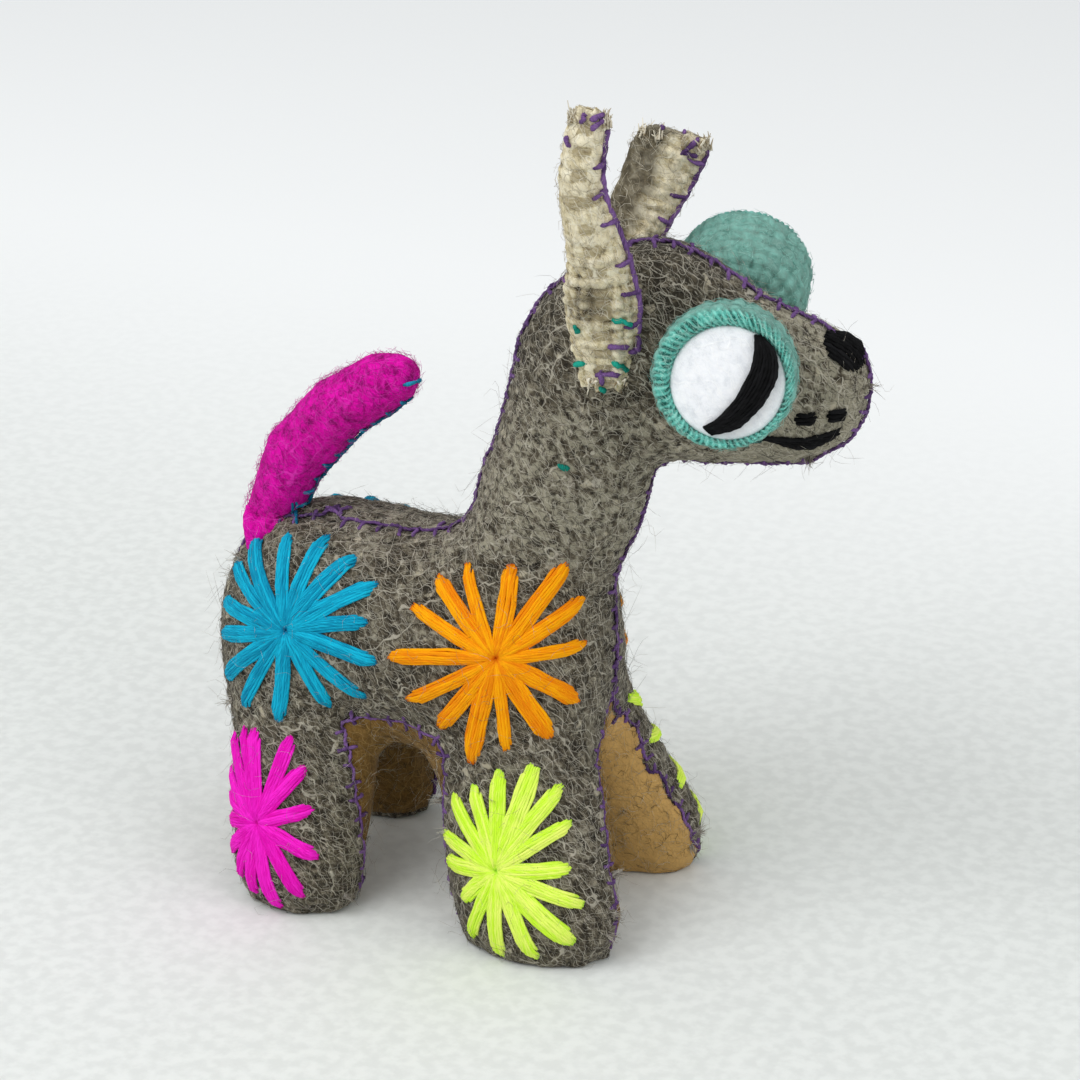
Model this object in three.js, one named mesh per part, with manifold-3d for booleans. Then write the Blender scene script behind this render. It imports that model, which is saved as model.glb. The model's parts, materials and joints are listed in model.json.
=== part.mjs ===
// A stuffed wool dog, hand sewn from grey wool cloth, with big padded eyes, tall ears,
// a curled-up tail and yarn stars. Millimetres, +Z up, the dog faces +X.
// The soft body is one smooth field of stuffed limbs, and everything sewn on it follows that field.

import * as THREE from 'three';
import { mergeVertices } from 'three/addons/utils/BufferGeometryUtils.js';
import Module from 'manifold-3d';

const wasm = await Module();
wasm.setup();

// Driving dimensions
const TORSO_RADIUS = 24;
const TORSO_REAR = [-41.2, 0, 57.6];
const TORSO_FRONT = [-1.6, 0, 56.6];
const FOOT_SPREAD = 21;
const SEAM_WIDTH = 20;
const HEAD_TURN = 15;
const HEAD_PIVOT = new THREE.Vector3(18, 0, 0);
const SKIN_CELL = 7;
const SKIN_BLEND = 9;
const FELT = 1.6;
const FELT_FLOOR = 1.5;
const GAP = 0.35;
const YARN = 1.1;
const YARN_GAP = 0.6;
const EAR_THICKNESS = 1.8;
const EAR_TIP_THICKNESS = 1;
const EAR_CUP = 2;
const EYE_RADIUS = 14.6;
const EYE_DEPTH = 14;
const EYE_TILT = 12;
const EYE_SIDES = 20;
const EYE_WHITE_RADIUS = 11.2;
const EYE_WHITE_DEPTH = 2.2;
const STAR_RAYS = 14;
const STAR_HUB = 6;
const RAY_HALF_WIDTH = 1.9;
const MUZZLE_HALF_WIDTH = 11;
const WHISKER_HALF_LENGTH = 1.8;
const WHISKER_HALF_WIDTH = 1;
const MOUTH_HALF_WIDTH = 1.5;
const NOSE_HALF_LENGTH = 6;
const NOSE_HALF_HEIGHT = 5;

const COLOURS = {
  greyWool: 0x5d564d,
  brownFelt: 0x6e5433,
  magentaWool: 0xc0148f,
  creamCloth: 0xb7a98c,
  tealWool: 0x5bb8ab,
  whiteFelt: 0xe6e9ea,
  blackYarn: 0x17171a,
  blueYarn: 0x179fc0,
  orangeYarn: 0xf08a00,
  pinkYarn: 0xe426bd,
  limeYarn: 0xbdf64f,
};

const degrees = Math.PI / 180;
const UP = new THREE.Vector3(0, 0, 1);

// Stuffed limbs: ends, radii at the ends, width as a share of the side view's, and turn about the neck
const limb = (from, to, fromRadius, toRadius, width, turn = 0) => ({
  from: new THREE.Vector3(...from),
  to: new THREE.Vector3(...to),
  fromRadius,
  toRadius,
  width,
  turn: turn * degrees,
});

const LIMBS = [
  limb(TORSO_REAR, TORSO_FRONT, TORSO_RADIUS, TORSO_RADIUS, 0.92),
  limb([2, 0, 66], [12.4, 0, 98], 18.8, 14, 0.8, 5),
  limb([12.6, 0, 98], [19.5, 0, 123.5], 15.6, 17.6, 0.68, 10),
  limb([30, 0, 131.4], [50, 0, 124], 18.5, 12.5, 0.75, HEAD_TURN),
  limb([40, 0, 121.5], [63, 0, 122.6], 14.5, 10.3, 0.78, HEAD_TURN),
  limb([42, 0, 117.6], [60.5, 0, 113.6], 12, 8.6, 0.78, HEAD_TURN),
  limb([3, -9, 46], [14, -FOOT_SPREAD, 8], 18, 18.5, 0.62),
  limb([3, 9, 46], [18.5, FOOT_SPREAD, 8], 16.5, 16.5, 0.66),
  limb([-43.8, -9, 46], [-40, -FOOT_SPREAD - 2, 8], 17.6, 14.9, 0.7),
  limb([-43.5, 9, 46], [-43, FOOT_SPREAD, 8], 17.2, 15, 0.7),
];

// Distance from a point to a cone with round ends
function roundConeDistance(p, { from, to, fromRadius, toRadius }) {
  const axis = to.clone().sub(from);
  const length = axis.length();
  const slope = (fromRadius - toRadius) / length;
  const offset = p.clone().sub(from);
  const along = offset.dot(axis) / length;
  const across = Math.sqrt(Math.max(offset.lengthSq() - along * along, 0));
  const edge = Math.sqrt(1 - slope * slope);
  const reach = along * edge - across * slope;
  if (reach < 0) return offset.length() - fromRadius;
  if (reach > length * edge) return p.distanceTo(to) - toRadius;
  return across * edge + along * slope - fromRadius;
}

// A limb is a round cone pressed flat from side to side
function limbDistance(p, part) {
  const q = p.clone().sub(HEAD_PIVOT).applyAxisAngle(UP, -part.turn).add(HEAD_PIVOT);
  const middle = THREE.MathUtils.clamp((part.from.z - q.z) / (part.from.z - part.to.z || 1), 0, 1);
  const centre = THREE.MathUtils.lerp(part.from.y, part.to.y, middle);
  q.y = centre + (q.y - centre) / part.width;
  return roundConeDistance(q, part);
}

function smoothMinimum(a, b) {
  const h = Math.max(SKIN_BLEND - Math.abs(a - b), 0) / SKIN_BLEND;
  return Math.min(a, b) - h * h * SKIN_BLEND / 4;
}

const bodyField = (p) => LIMBS.map((part) => limbDistance(p, part)).reduce(smoothMinimum);

function slope(field, p, step = 0.05) {
  const at = (dx, dy, dz) => field(new THREE.Vector3(p.x + dx, p.y + dy, p.z + dz));
  return new THREE.Vector3(
    at(step, 0, 0) - at(-step, 0, 0),
    at(0, step, 0) - at(0, -step, 0),
    at(0, 0, step) - at(0, 0, -step),
  ).divideScalar(2 * step);
}

// The nearest point that stands a given height off the skin
function onSkin(p, height = 0) {
  const q = p.clone();
  for (let i = 0; i < 5; i += 1) {
    const g = slope(bodyField, q);
    q.addScaledVector(g, -bodyField(q) / g.lengthSq());
  }
  return q.addScaledVector(slope(bodyField, q).normalize(), height);
}

// Closed mesh round a field, by surface nets on a grid
function netOf(field, box, cell) {
  const count = box.getSize(new THREE.Vector3()).divideScalar(cell).ceil().addScalar(1);
  const [nx, ny, nz] = count.toArray();
  const index = (i, j, k) => (k * ny + j) * nx + i;
  const corner = (i, j, k) => new THREE.Vector3(i, j, k).multiplyScalar(cell).add(box.min);
  const values = new Float64Array(nx * ny * nz);
  for (let k = 0; k < nz; k += 1)
    for (let j = 0; j < ny; j += 1)
      for (let i = 0; i < nx; i += 1) values[index(i, j, k)] = field(corner(i, j, k));

  const vertices = [];
  const vertexOf = new Map();
  const vertexIn = (i, j, k) => {
    const key = index(i, j, k);
    if (!vertexOf.has(key)) {
      const sum = new THREE.Vector3();
      let crossings = 0;
      for (let axis = 0; axis < 3; axis += 1)
        for (const [u, v] of [[0, 0], [1, 0], [0, 1], [1, 1]]) {
          const start = [i, j, k];
          start[(axis + 1) % 3] += u;
          start[(axis + 2) % 3] += v;
          const end = [...start];
          end[axis] += 1;
          const a = values[index(...start)];
          const b = values[index(...end)];
          if (a < 0 === b < 0) continue;
          sum.add(corner(...start).lerp(corner(...end), a / (a - b)));
          crossings += 1;
        }
      vertexOf.set(key, vertices.length);
      vertices.push(onSkin(sum.divideScalar(crossings)));
    }
    return vertexOf.get(key);
  };

  const triangles = [];
  for (let k = 1; k < nz - 1; k += 1)
    for (let j = 1; j < ny - 1; j += 1)
      for (let i = 1; i < nx - 1; i += 1)
        for (let axis = 0; axis < 3; axis += 1) {
          const end = [i, j, k];
          end[axis] += 1;
          const inside = values[index(i, j, k)] < 0;
          if (inside === values[index(...end)] < 0) continue;
          const around = [[-1, -1], [0, -1], [0, 0], [-1, 0]].map(([u, v]) => {
            const cellAt = [i, j, k];
            cellAt[(axis + 1) % 3] += u;
            cellAt[(axis + 2) % 3] += v;
            return vertexIn(...cellAt);
          });
          if (!inside) around.reverse();
          triangles.push(around[0], around[1], around[2], around[0], around[2], around[3]);
        }
  return meshOf(vertices, triangles);
}

const meshOf = (vertices, triangles) => new THREE.BufferGeometry()
  .setFromPoints(vertices)
  .setIndex(triangles);

// The same mesh moved out, or in, along the skin's normal
function swollen(geometry, height) {
  const vertices = [];
  const place = geometry.getAttribute('position');
  for (let i = 0; i < place.count; i += 1) {
    const p = new THREE.Vector3().fromBufferAttribute(place, i);
    vertices.push(p.addScaledVector(slope(bodyField, p).normalize(), height));
  }
  return meshOf(vertices, [...geometry.index.array]);
}

// Between three.js geometry and solids that can be joined and cut
function solidOf(geometry) {
  const plain = geometry.clone();
  plain.deleteAttribute('normal');
  plain.deleteAttribute('uv');
  const merged = mergeVertices(plain, 1e-4);
  return new wasm.Manifold(new wasm.Mesh({
    numProp: 3,
    vertProperties: merged.getAttribute('position').array,
    triVerts: new Uint32Array(merged.index.array),
  }));
}

function geometryOf(solid) {
  const { vertProperties, triVerts } = solid.getMesh();
  return new THREE.BufferGeometry()
    .setAttribute('position', new THREE.BufferAttribute(new Float32Array(vertProperties), 3))
    .setIndex(new THREE.BufferAttribute(new Uint32Array(triVerts), 1));
}

// Closed mesh through rings that all have the same number of points, with flat ends
function loft(rings) {
  const count = rings[0].length;
  const triangles = [];
  const last = (rings.length - 1) * count;
  for (let r = 0; r + 1 < rings.length; r += 1)
    for (let i = 0; i < count; i += 1) {
      const [a, b] = [r * count + i, r * count + (i + 1) % count];
      triangles.push(a, b, b + count, a, b + count, a + count);
    }
  for (let i = 1; i + 1 < count; i += 1) {
    triangles.push(0, i + 1, i);
    triangles.push(last, last + i, last + i + 1);
  }
  return meshOf(rings.flat(), triangles);
}

// The block of space that the brown underside covers, which is all between the legs
function undersideSpace(clearance) {
  const stations = [
    // x, half width low down, height where it narrows, half width there, height of its peak
    [-75, FOOT_SPREAD, 6, 9, 36, 46],
    [-46, FOOT_SPREAD, 8, 12, 38, 48],
    [-32, FOOT_SPREAD, 10, SEAM_WIDTH, 43, 52],
    [-6, FOOT_SPREAD, 10, SEAM_WIDTH, 43, 52],
    [10, FOOT_SPREAD, 8, 13, 38, 52],
    [45, FOOT_SPREAD, 6, 8, 37, 50],
  ];
  const floor = FELT_FLOOR - clearance;
  return loft(stations.map(([x, low, lowHeight, high, highHeight, peak]) => [
    [-low, floor], [low, floor], [low, lowHeight], [high, highHeight], [0, peak],
    [-high, highHeight], [-low, lowHeight],
  ].map(([y, z]) => new THREE.Vector3(
    x,
    y + Math.sign(y) * clearance,
    z + (z > floor ? clearance : 0),
  ))));
}

// Soft body and its brown underside, cut flat where the feet stand
const skinBox = new THREE.Box3(new THREE.Vector3(-74, -46, -20), new THREE.Vector3(86, 46, 158));
const skinMesh = netOf(bodyField, skinBox, SKIN_CELL);
const ground = new THREE.BoxGeometry(300, 300, 60).translate(0, 0, -30);
const skin = solidOf(skinMesh);
const clearOfSkin = solidOf(swollen(skinMesh, GAP));
const lining = solidOf(undersideSpace(GAP)).subtract(solidOf(swollen(skinMesh, -FELT - GAP)));

const bodySolid = skin.subtract(solidOf(ground)).subtract(lining);
const undersideSolid = skin
  .subtract(solidOf(swollen(skinMesh, -FELT)))
  .intersect(solidOf(undersideSpace(0)));

// A point given along, across and up in the turned head's own frame
const headPoint = (along, across, up) => new THREE.Vector3(along, across, up)
  .applyAxisAngle(UP, HEAD_TURN * degrees)
  .add(HEAD_PIVOT);

// Where a yarn ends that is laid over the skin from a start, with the way it still runs
function layYarn(start, heading, length, step = 2) {
  const place = start.clone();
  const way = heading.clone();
  const count = Math.max(Math.round(length / step), 1);
  for (let i = 0; i < count; i += 1) {
    place.copy(onSkin(place.addScaledVector(way, length / count)));
    const normal = slope(bodyField, place).normalize();
    way.addScaledVector(normal, -way.dot(normal)).normalize();
  }
  const normal = slope(bodyField, place).normalize();
  return { place, way, normal, side: normal.clone().cross(way) };
}

// Both faces of a patch of yarn: the same triangles low and high on the skin, joined round their rim
function yarnPatch(points, triangles, rim) {
  const low = points.map((p) => onSkin(p, YARN_GAP));
  const high = points.map((p) => onSkin(p, YARN_GAP + YARN));
  const count = points.length;
  const faces = [];
  for (let i = 0; i < triangles.length; i += 3) {
    const [a, b, c] = triangles.slice(i, i + 3);
    faces.push(a + count, b + count, c + count, a, c, b);
  }
  rim.forEach((a, i) => {
    const b = rim[(i + 1) % rim.length];
    faces.push(a, b, b + count, a, b + count, a + count);
  });
  return solidOf(meshOf([...low, ...high], faces));
}

// Tangent directions at a point of the skin: forwards, and upwards
function tangents(centre) {
  const normal = slope(bodyField, centre).normalize();
  const up = UP.clone().addScaledVector(normal, -UP.dot(normal)).normalize();
  return { normal, up, along: up.clone().cross(normal) };
}

// A star of straight yarn rays from one hole, sewn round a point of the skin
function yarnStar(near, reach) {
  const centre = onSkin(near);
  const { up, along } = tangents(centre);
  const points = [centre];
  const triangles = [];
  const rim = [];
  const segments = 2;
  for (let ray = 0; ray < STAR_RAYS; ray += 1) {
    const angle = 2 * Math.PI * ray / STAR_RAYS;
    const heading = along.clone().multiplyScalar(Math.cos(angle)).addScaledVector(up, Math.sin(angle));
    const length = reach * (1 + 0.07 * Math.sin(5 * angle + 1));
    const first = points.length;
    for (let i = 0; i <= segments; i += 1) {
      const share = i / segments;
      const at = layYarn(centre, heading, THREE.MathUtils.lerp(STAR_HUB, length, share));
      const room = STAR_HUB * Math.PI / STAR_RAYS * (0.8 + share);
      const half = Math.min(RAY_HALF_WIDTH * (i === segments ? 0.6 : 1), room);
      points.push(at.place.clone().addScaledVector(at.side, -half));
      points.push(at.place.clone().addScaledVector(at.side, half));
    }
    const next = ray + 1 < STAR_RAYS ? first + 2 * (segments + 1) : 1;
    triangles.push(0, first, first + 1, 0, first + 1, next);
    for (let i = 0; i < segments; i += 1) {
      const [a, b, c, d] = [0, 2, 3, 1].map((k) => first + 2 * i + k);
      triangles.push(a, b, c, a, c, d);
    }
    for (let i = 0; i <= segments; i += 1) rim.push(first + 2 * i);
    for (let i = segments; i >= 0; i -= 1) rim.push(first + 2 * i + 1);
  }
  return yarnPatch(points, triangles, rim);
}

// A round patch of satin stitch, wider or taller as its two radii say
function yarnDisc(near, alongRadius, upRadius, spokes = 14) {
  const centre = onSkin(near);
  const { up, along } = tangents(centre);
  const points = [centre];
  const triangles = [];
  for (let spoke = 0; spoke < spokes; spoke += 1) {
    const angle = 2 * Math.PI * spoke / spokes;
    const heading = along.clone().multiplyScalar(Math.cos(angle)).addScaledVector(up, Math.sin(angle));
    const radius = 1 / Math.hypot(Math.cos(angle) / alongRadius, Math.sin(angle) / upRadius);
    points.push(layYarn(centre, heading, radius / 2).place, layYarn(centre, heading, radius).place);
    const [a, b] = [1 + 2 * spoke, 1 + 2 * ((spoke + 1) % spokes)];
    triangles.push(0, a, b, a, a + 1, b + 1, a, b + 1, b);
  }
  return yarnPatch(points, triangles, points.map((_, i) => i).filter((i) => i && i % 2 === 0));
}

// A straight bar of yarn through places on the skin
function yarnBar(places, halfWidth) {
  const points = [];
  const triangles = [];
  const path = places.map((p) => onSkin(p));
  path.forEach((place, i) => {
    const way = path[Math.min(i + 1, path.length - 1)].clone().sub(path[Math.max(i - 1, 0)]);
    const side = slope(bodyField, place).cross(way).normalize();
    const taper = i % (path.length - 1) ? 1 : 0.6;
    points.push(place.clone().addScaledVector(side, -halfWidth * taper));
    points.push(place.clone().addScaledVector(side, halfWidth * taper));
    if (i) triangles.push(2 * i - 2, 2 * i, 2 * i + 1, 2 * i - 2, 2 * i + 1, 2 * i - 1);
  });
  const lastPoint = points.length - 1;
  const right = points.map((_, i) => i).filter((i) => i % 2 === 0);
  const left = right.map((i) => lastPoint - i);
  return yarnPatch(points, triangles, [...right, ...left]);
}

// A closed sleeve along a curve, with an oval section that may be cupped like a leaf
function sleeve(spine, sideways, sections, sides = 12) {
  const curve = new THREE.CatmullRomCurve3(spine);
  return loft(sections.map(({ at, halfWidth, halfDepth, cup = 0 }) => {
    const centre = curve.getPoint(at);
    const along = curve.getTangent(at);
    const across = sideways.clone().addScaledVector(along, -sideways.dot(along)).normalize();
    const out = along.clone().cross(across);
    return Array.from({ length: sides }, (_, i) => {
      const angle = 2 * Math.PI * i / sides;
      const reach = Math.cos(angle);
      return centre.clone()
        .addScaledVector(across, halfWidth * reach)
        .addScaledVector(out, halfDepth * Math.sin(angle) + cup * reach * reach);
    });
  }));
}

// A turned shape with its axis along a direction
function turned(profile, place, direction) {
  const points = profile.map(([radius, height]) => new THREE.Vector2(radius, height));
  return new THREE.LatheGeometry(points, EYE_SIDES)
    .applyQuaternion(new THREE.Quaternion().setFromUnitVectors(new THREE.Vector3(0, 1, 0), direction))
    .translate(...place.toArray());
}

const dog = new THREE.Group();

function add(name, solid, colour) {
  const material = new THREE.MeshStandardMaterial({ color: colour, roughness: 0.95, metalness: 0 });
  const mesh = new THREE.Mesh(geometryOf(solid), material);
  mesh.name = name;
  dog.add(mesh);
}

add('body', bodySolid, COLOURS.greyWool);
add('underside', undersideSolid, COLOURS.brownFelt);

function addTail() {
  const spine = [[-50.6, 0, 71], [-54.8, 0, 81.2], [-47.7, 0, 94.4], [-36.6, 0, 106.6], [-22, 0, 115.4]];
  const sections = [
    [0, 5.5], [0.2, 7], [0.45, 7], [0.7, 6.8], [0.88, 6.2], [0.96, 4.8], [1, 2.2],
  ].map(([at, radius]) => ({ at, halfWidth: radius, halfDepth: radius }));
  const tail = sleeve(spine.map((p) => new THREE.Vector3(...p)), new THREE.Vector3(0, 1, 0), sections);
  add('tail', solidOf(tail).subtract(clearOfSkin), COLOURS.magentaWool);
}

// An ear is two layers of cloth, cupped and sewn to the side of the head by its root.
// Its widths are given as pairs: share of its height, half width.
function addEar(name, spine, widths) {
  const sections = widths.map(([at, halfWidth]) => ({
    at,
    halfWidth,
    halfDepth: at < 1 ? EAR_THICKNESS : EAR_TIP_THICKNESS,
    cup: EAR_CUP * Math.sin(Math.PI * Math.min(at + 0.1, 1)),
  }));
  const forwards = headPoint(1, 0, 0).sub(HEAD_PIVOT);
  const ear = sleeve(spine.map((p) => headPoint(...p)), forwards, sections);
  add(name, solidOf(ear).subtract(clearOfSkin), COLOURS.creamCloth);
}

function addEye(side, suffix) {
  const tilt = EYE_TILT * degrees;
  const outwards = headPoint(0, side * Math.cos(tilt), Math.sin(tilt)).sub(HEAD_PIVOT);
  const face = side < 0 ? headPoint(27.8, -29, 132.9) : headPoint(27, 29, 134.6);
  const pad = turned([
    [0, -EYE_DEPTH - 4], [EYE_RADIUS * 0.72, -EYE_DEPTH - 4], [EYE_RADIUS * 0.9, -EYE_DEPTH + 1],
    [EYE_RADIUS * 0.98, -EYE_DEPTH / 2], [EYE_RADIUS, -3], [EYE_RADIUS * 0.94, -0.6],
    [EYE_WHITE_RADIUS + 1.6, 0], [EYE_WHITE_RADIUS + 0.6, -0.8],
    [EYE_WHITE_RADIUS + GAP, -EYE_WHITE_DEPTH], [0, -EYE_WHITE_DEPTH],
  ], face, outwards);
  add('eye_pad_' + suffix, solidOf(pad).subtract(clearOfSkin), COLOURS.tealWool);
  const white = turned([
    [0, GAP - EYE_WHITE_DEPTH], [EYE_WHITE_RADIUS, GAP - EYE_WHITE_DEPTH], [EYE_WHITE_RADIUS - 0.3, -1.1],
    [EYE_WHITE_RADIUS * 0.6, -0.7], [0, -0.6],
  ], face, outwards);
  add('eye_white_' + suffix, solidOf(white), COLOURS.whiteFelt);

  // The pupil is a slanting band of satin stitch, from the front of the rim down and back
  const up = UP.clone().addScaledVector(outwards, -UP.dot(outwards)).normalize();
  const forwards = side < 0 ? 1 : -1;
  const band = new THREE.Shape();
  band.moveTo(forwards * 4.6, 9.2);
  band.quadraticCurveTo(forwards * 4, 0, forwards * -4.8, -8.4);
  band.lineTo(forwards * -2.6, -10.3);
  band.bezierCurveTo(forwards * 3, -9.5, forwards * 9.5, -2, forwards * 8.8, 5.4);
  band.lineTo(forwards * 7.4, 8);
  const pupil = new THREE.ExtrudeGeometry(band, { depth: YARN, bevelEnabled: false, curveSegments: 6 })
    .translate(0, 0, GAP - 0.6)
    .applyMatrix4(new THREE.Matrix4()
      .makeBasis(up.clone().cross(outwards), up, outwards)
      .setPosition(face));
  add('pupil_' + suffix, solidOf(pupil), COLOURS.blackYarn);
}

addTail();
addEar(
  'ear_right',
  [[4, -14, 126.5], [4.2, -15.5, 137], [3.6, -18, 151], [0.2, -20.5, 167], [2, -21, 183]],
  [[0, 4.7], [0.14, 6.8], [0.34, 8], [0.5, 6.6], [0.68, 5.1], [0.85, 4.4], [0.95, 3.8], [1, 2.4]],
);
addEar(
  'ear_left',
  [[1, 13, 125], [2.6, 15, 135], [4.8, 17.5, 146], [8.8, 19.5, 156], [15.2, 20, 166.5]],
  [[0, 4.5], [0.15, 5.6], [0.4, 6], [0.6, 6.5], [0.8, 7.1], [0.93, 6.8], [1, 4.4]],
);
addEye(-1, 'right');
addEye(1, 'left');

const STARS = {
  blue: { place: [-41.6, 23, 62.3], reach: 21.5, colour: COLOURS.blueYarn },
  orange: { place: [5.1, 22, 64.7], reach: 21.5, colour: COLOURS.orangeYarn },
  pink: { place: [-45.3, 30, 20.5], reach: 17.4, colour: COLOURS.pinkYarn },
  lime: { place: [8.9, 30, 21], reach: 18, colour: COLOURS.limeYarn },
};

for (const [side, suffix] of [[-1, 'right'], [1, 'left']]) {
  for (const [name, { place: [x, y, z], reach, colour }] of Object.entries(STARS))
    add('star_' + name + '_' + suffix, yarnStar(new THREE.Vector3(x, side * y, z), reach), colour);
  for (const [place, along] of [['rear', 42.5], ['front', 49.5]]) {
    const places = [-WHISKER_HALF_LENGTH, 0, WHISKER_HALF_LENGTH]
      .map((step) => headPoint(along + step, side * MUZZLE_HALF_WIDTH, 117.5));
    add('whisker_' + suffix + '_' + place, yarnBar(places, WHISKER_HALF_WIDTH), COLOURS.blackYarn);
  }
  const mouth = [0, 0.25, 0.5, 0.75, 1].map((share) => headPoint(
    31 + 20 * share,
    side * MUZZLE_HALF_WIDTH,
    113.5 - 1.5 * share - 1.5 * Math.sin(Math.PI * share),
  ));
  add('mouth_' + suffix, yarnBar(mouth, MOUTH_HALF_WIDTH), COLOURS.blackYarn);
}
add('nose', yarnDisc(headPoint(49.4, -2.4, 130), NOSE_HALF_LENGTH, NOSE_HALF_HEIGHT), COLOURS.blackYarn);

// The origin is on the floor, under the middle of the whole dog
const bounds = new THREE.Box3().setFromObject(dog);
const middle = bounds.getCenter(new THREE.Vector3()).setZ(bounds.min.z);
for (const mesh of dog.children) mesh.geometry.translate(-middle.x, -middle.y, -middle.z);

export default dog;
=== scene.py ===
# %% [markdown]
# # A stuffed wool dog with yarn stars
# The real object is a toy sewn by hand. Coarse grey wool cloth is stuffed into a dog, brown felt closes
# it underneath, and everything else is sewn on: a felt tail, woven ears, padded eyes, satin stitches and
# stars of yarn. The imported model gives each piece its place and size. Here each one gets its real
# surface, made in the order in which a maker would work: stuffing, sewing, embroidery, then fuzz.

import json
import math

import bpy
import numpy as np
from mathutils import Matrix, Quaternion, Vector, noise
from mathutils.bvhtree import BVHTree

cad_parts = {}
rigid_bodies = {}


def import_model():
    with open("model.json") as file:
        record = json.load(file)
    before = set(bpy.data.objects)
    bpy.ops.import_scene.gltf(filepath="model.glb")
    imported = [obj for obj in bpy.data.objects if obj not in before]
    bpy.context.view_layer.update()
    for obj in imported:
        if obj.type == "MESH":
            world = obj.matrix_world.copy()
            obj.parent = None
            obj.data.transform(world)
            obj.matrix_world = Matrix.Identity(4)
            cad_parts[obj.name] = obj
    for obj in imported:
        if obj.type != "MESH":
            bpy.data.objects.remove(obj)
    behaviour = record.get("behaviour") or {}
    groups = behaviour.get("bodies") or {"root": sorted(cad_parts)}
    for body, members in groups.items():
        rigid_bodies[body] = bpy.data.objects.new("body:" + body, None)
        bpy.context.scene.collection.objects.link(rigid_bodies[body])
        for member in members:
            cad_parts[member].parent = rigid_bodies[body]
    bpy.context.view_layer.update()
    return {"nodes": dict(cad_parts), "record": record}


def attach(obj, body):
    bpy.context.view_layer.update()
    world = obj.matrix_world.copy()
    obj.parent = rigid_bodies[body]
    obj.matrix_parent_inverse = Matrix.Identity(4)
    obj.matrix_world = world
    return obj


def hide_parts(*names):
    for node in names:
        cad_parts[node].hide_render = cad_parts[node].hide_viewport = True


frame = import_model()
record_slots = [material["slot"] for material in frame["record"]["materials"]]
print("nodes in the frame:", len(frame["nodes"]), "slots:", record_slots)

# %% [markdown]
# ## Where things are
# All sizes below are in millimetres in the dog's own pattern, with x forwards, y to its left and z up.
# One helper turns them into metres in the frame. The head is turned about an upright line through the
# neck, so what is sewn to the head has a helper of its own.

# %% The pattern's own coordinates
MM = 0.001
PATTERN_ORIGIN = Vector((-3.4679, -2.1707, 0.0))
NECK = Vector((18.0, 0.0, 0.0))
HEAD_TURN = math.radians(15)
UP = Vector((0, 0, 1))
SIDES = {"right": -1, "left": 1}
dice = np.random.default_rng(7)


def at(x, y, z):
    """A place on the dog, in metres, from millimetres in its pattern."""
    return (Vector((x, y, z)) + PATTERN_ORIGIN) * MM


def turned(vector, angle=HEAD_TURN):
    """The same vector turned about the upright."""
    x, y, z = vector
    return Vector((
        x * math.cos(angle) - y * math.sin(angle),
        x * math.sin(angle) + y * math.cos(angle),
        z,
    ))


def head_at(along, across, up):
    """A place on the turned head, in metres."""
    return at(*(turned((along, across, up)) + NECK))


print("the nose is near", tuple(round(v, 4) for v in head_at(52, 0, 128)))

# %% [markdown]
# ## Camera
# The photograph looks at the dog's right side from a little in front and above, with a long lens, so
# that the legs stay nearly upright. The camera could be placed by eye, but here it comes from two
# angles, a distance and the size of a pixel on the dog, because the same numbers then also work the
# other way: `seen_at` follows a line of sight from a pixel to the cloth. Small stitches are placed so.

# %% Camera
AZIMUTH = math.radians(23)
ELEVATION = math.radians(25)
DISTANCE = 0.720
MM_PER_PIXEL = 0.21
IMAGE_SIDE = 1080
SENSOR_WIDTH = 36.0


def towards_viewer(azimuth, elevation):
    """Direction from the dog to a viewer."""
    return Vector((
        math.sin(azimuth) * math.cos(elevation),
        -math.cos(azimuth) * math.cos(elevation),
        math.sin(elevation),
    ))


back = towards_viewer(AZIMUTH, ELEVATION)
bpy.ops.object.camera_add(
    location=at(0, 14, 75) + back * DISTANCE,
    rotation=back.to_track_quat("Z", "Y").to_euler(),
)
camera = bpy.context.object
camera_turn = camera.rotation_euler.to_quaternion()
camera.data.sensor_width = SENSOR_WIDTH
camera.data.lens = SENSOR_WIDTH * DISTANCE / (MM_PER_PIXEL * MM * IMAGE_SIDE)
bpy.context.scene.camera = camera
print("lens in mm:", round(camera.data.lens, 1))


def seen_at(column, row, *trees):
    """The first place on some skins that the camera sees at a pixel, and the normal there."""
    aside = camera_turn @ Vector((1, 0, 0)) * (column - IMAGE_SIDE / 2)
    above = camera_turn @ Vector((0, 1, 0)) * (IMAGE_SIDE / 2 - row)
    way = (aside + above) * (MM_PER_PIXEL * MM) - back * DISTANCE
    hits = [tree.ray_cast(camera.location, way.normalized()) for tree in trees]
    hits = [hit for hit in hits if hit[0]] or [trees[0].find_nearest(camera.location + way)]
    spot, normal, _, _ = min(hits, key=lambda hit: hit[3])
    return spot, normal


# %% [markdown]
# ## Light
# Wool shows its fibres best in soft light that comes mostly from one side. A big square light stands
# at the upper left, a weaker one at the right fills its shadows, and a third one hangs overhead, so
# only a soft shadow is left under the belly.

# %% Light
bpy.context.scene.view_settings.view_transform = "Standard"


def soft_box(name, azimuth, elevation, distance, size, watts):
    """A square area light that looks at the dog's middle."""
    way = towards_viewer(math.radians(azimuth), math.radians(elevation))
    bpy.ops.object.light_add(
        type="AREA",
        location=at(0, 0, 70) + way * distance,
        rotation=way.to_track_quat("Z", "Y").to_euler(),
    )
    light = bpy.context.object
    light.name = name
    light.data.size = size
    light.data.energy = watts


soft_box("key_light", azimuth=-35, elevation=48, distance=1.3, size=1.0, watts=9)
soft_box("fill_light", azimuth=75, elevation=30, distance=1.4, size=1.2, watts=5)
soft_box("top_light", azimuth=0, elevation=88, distance=1.6, size=1.6, watts=5)

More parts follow.
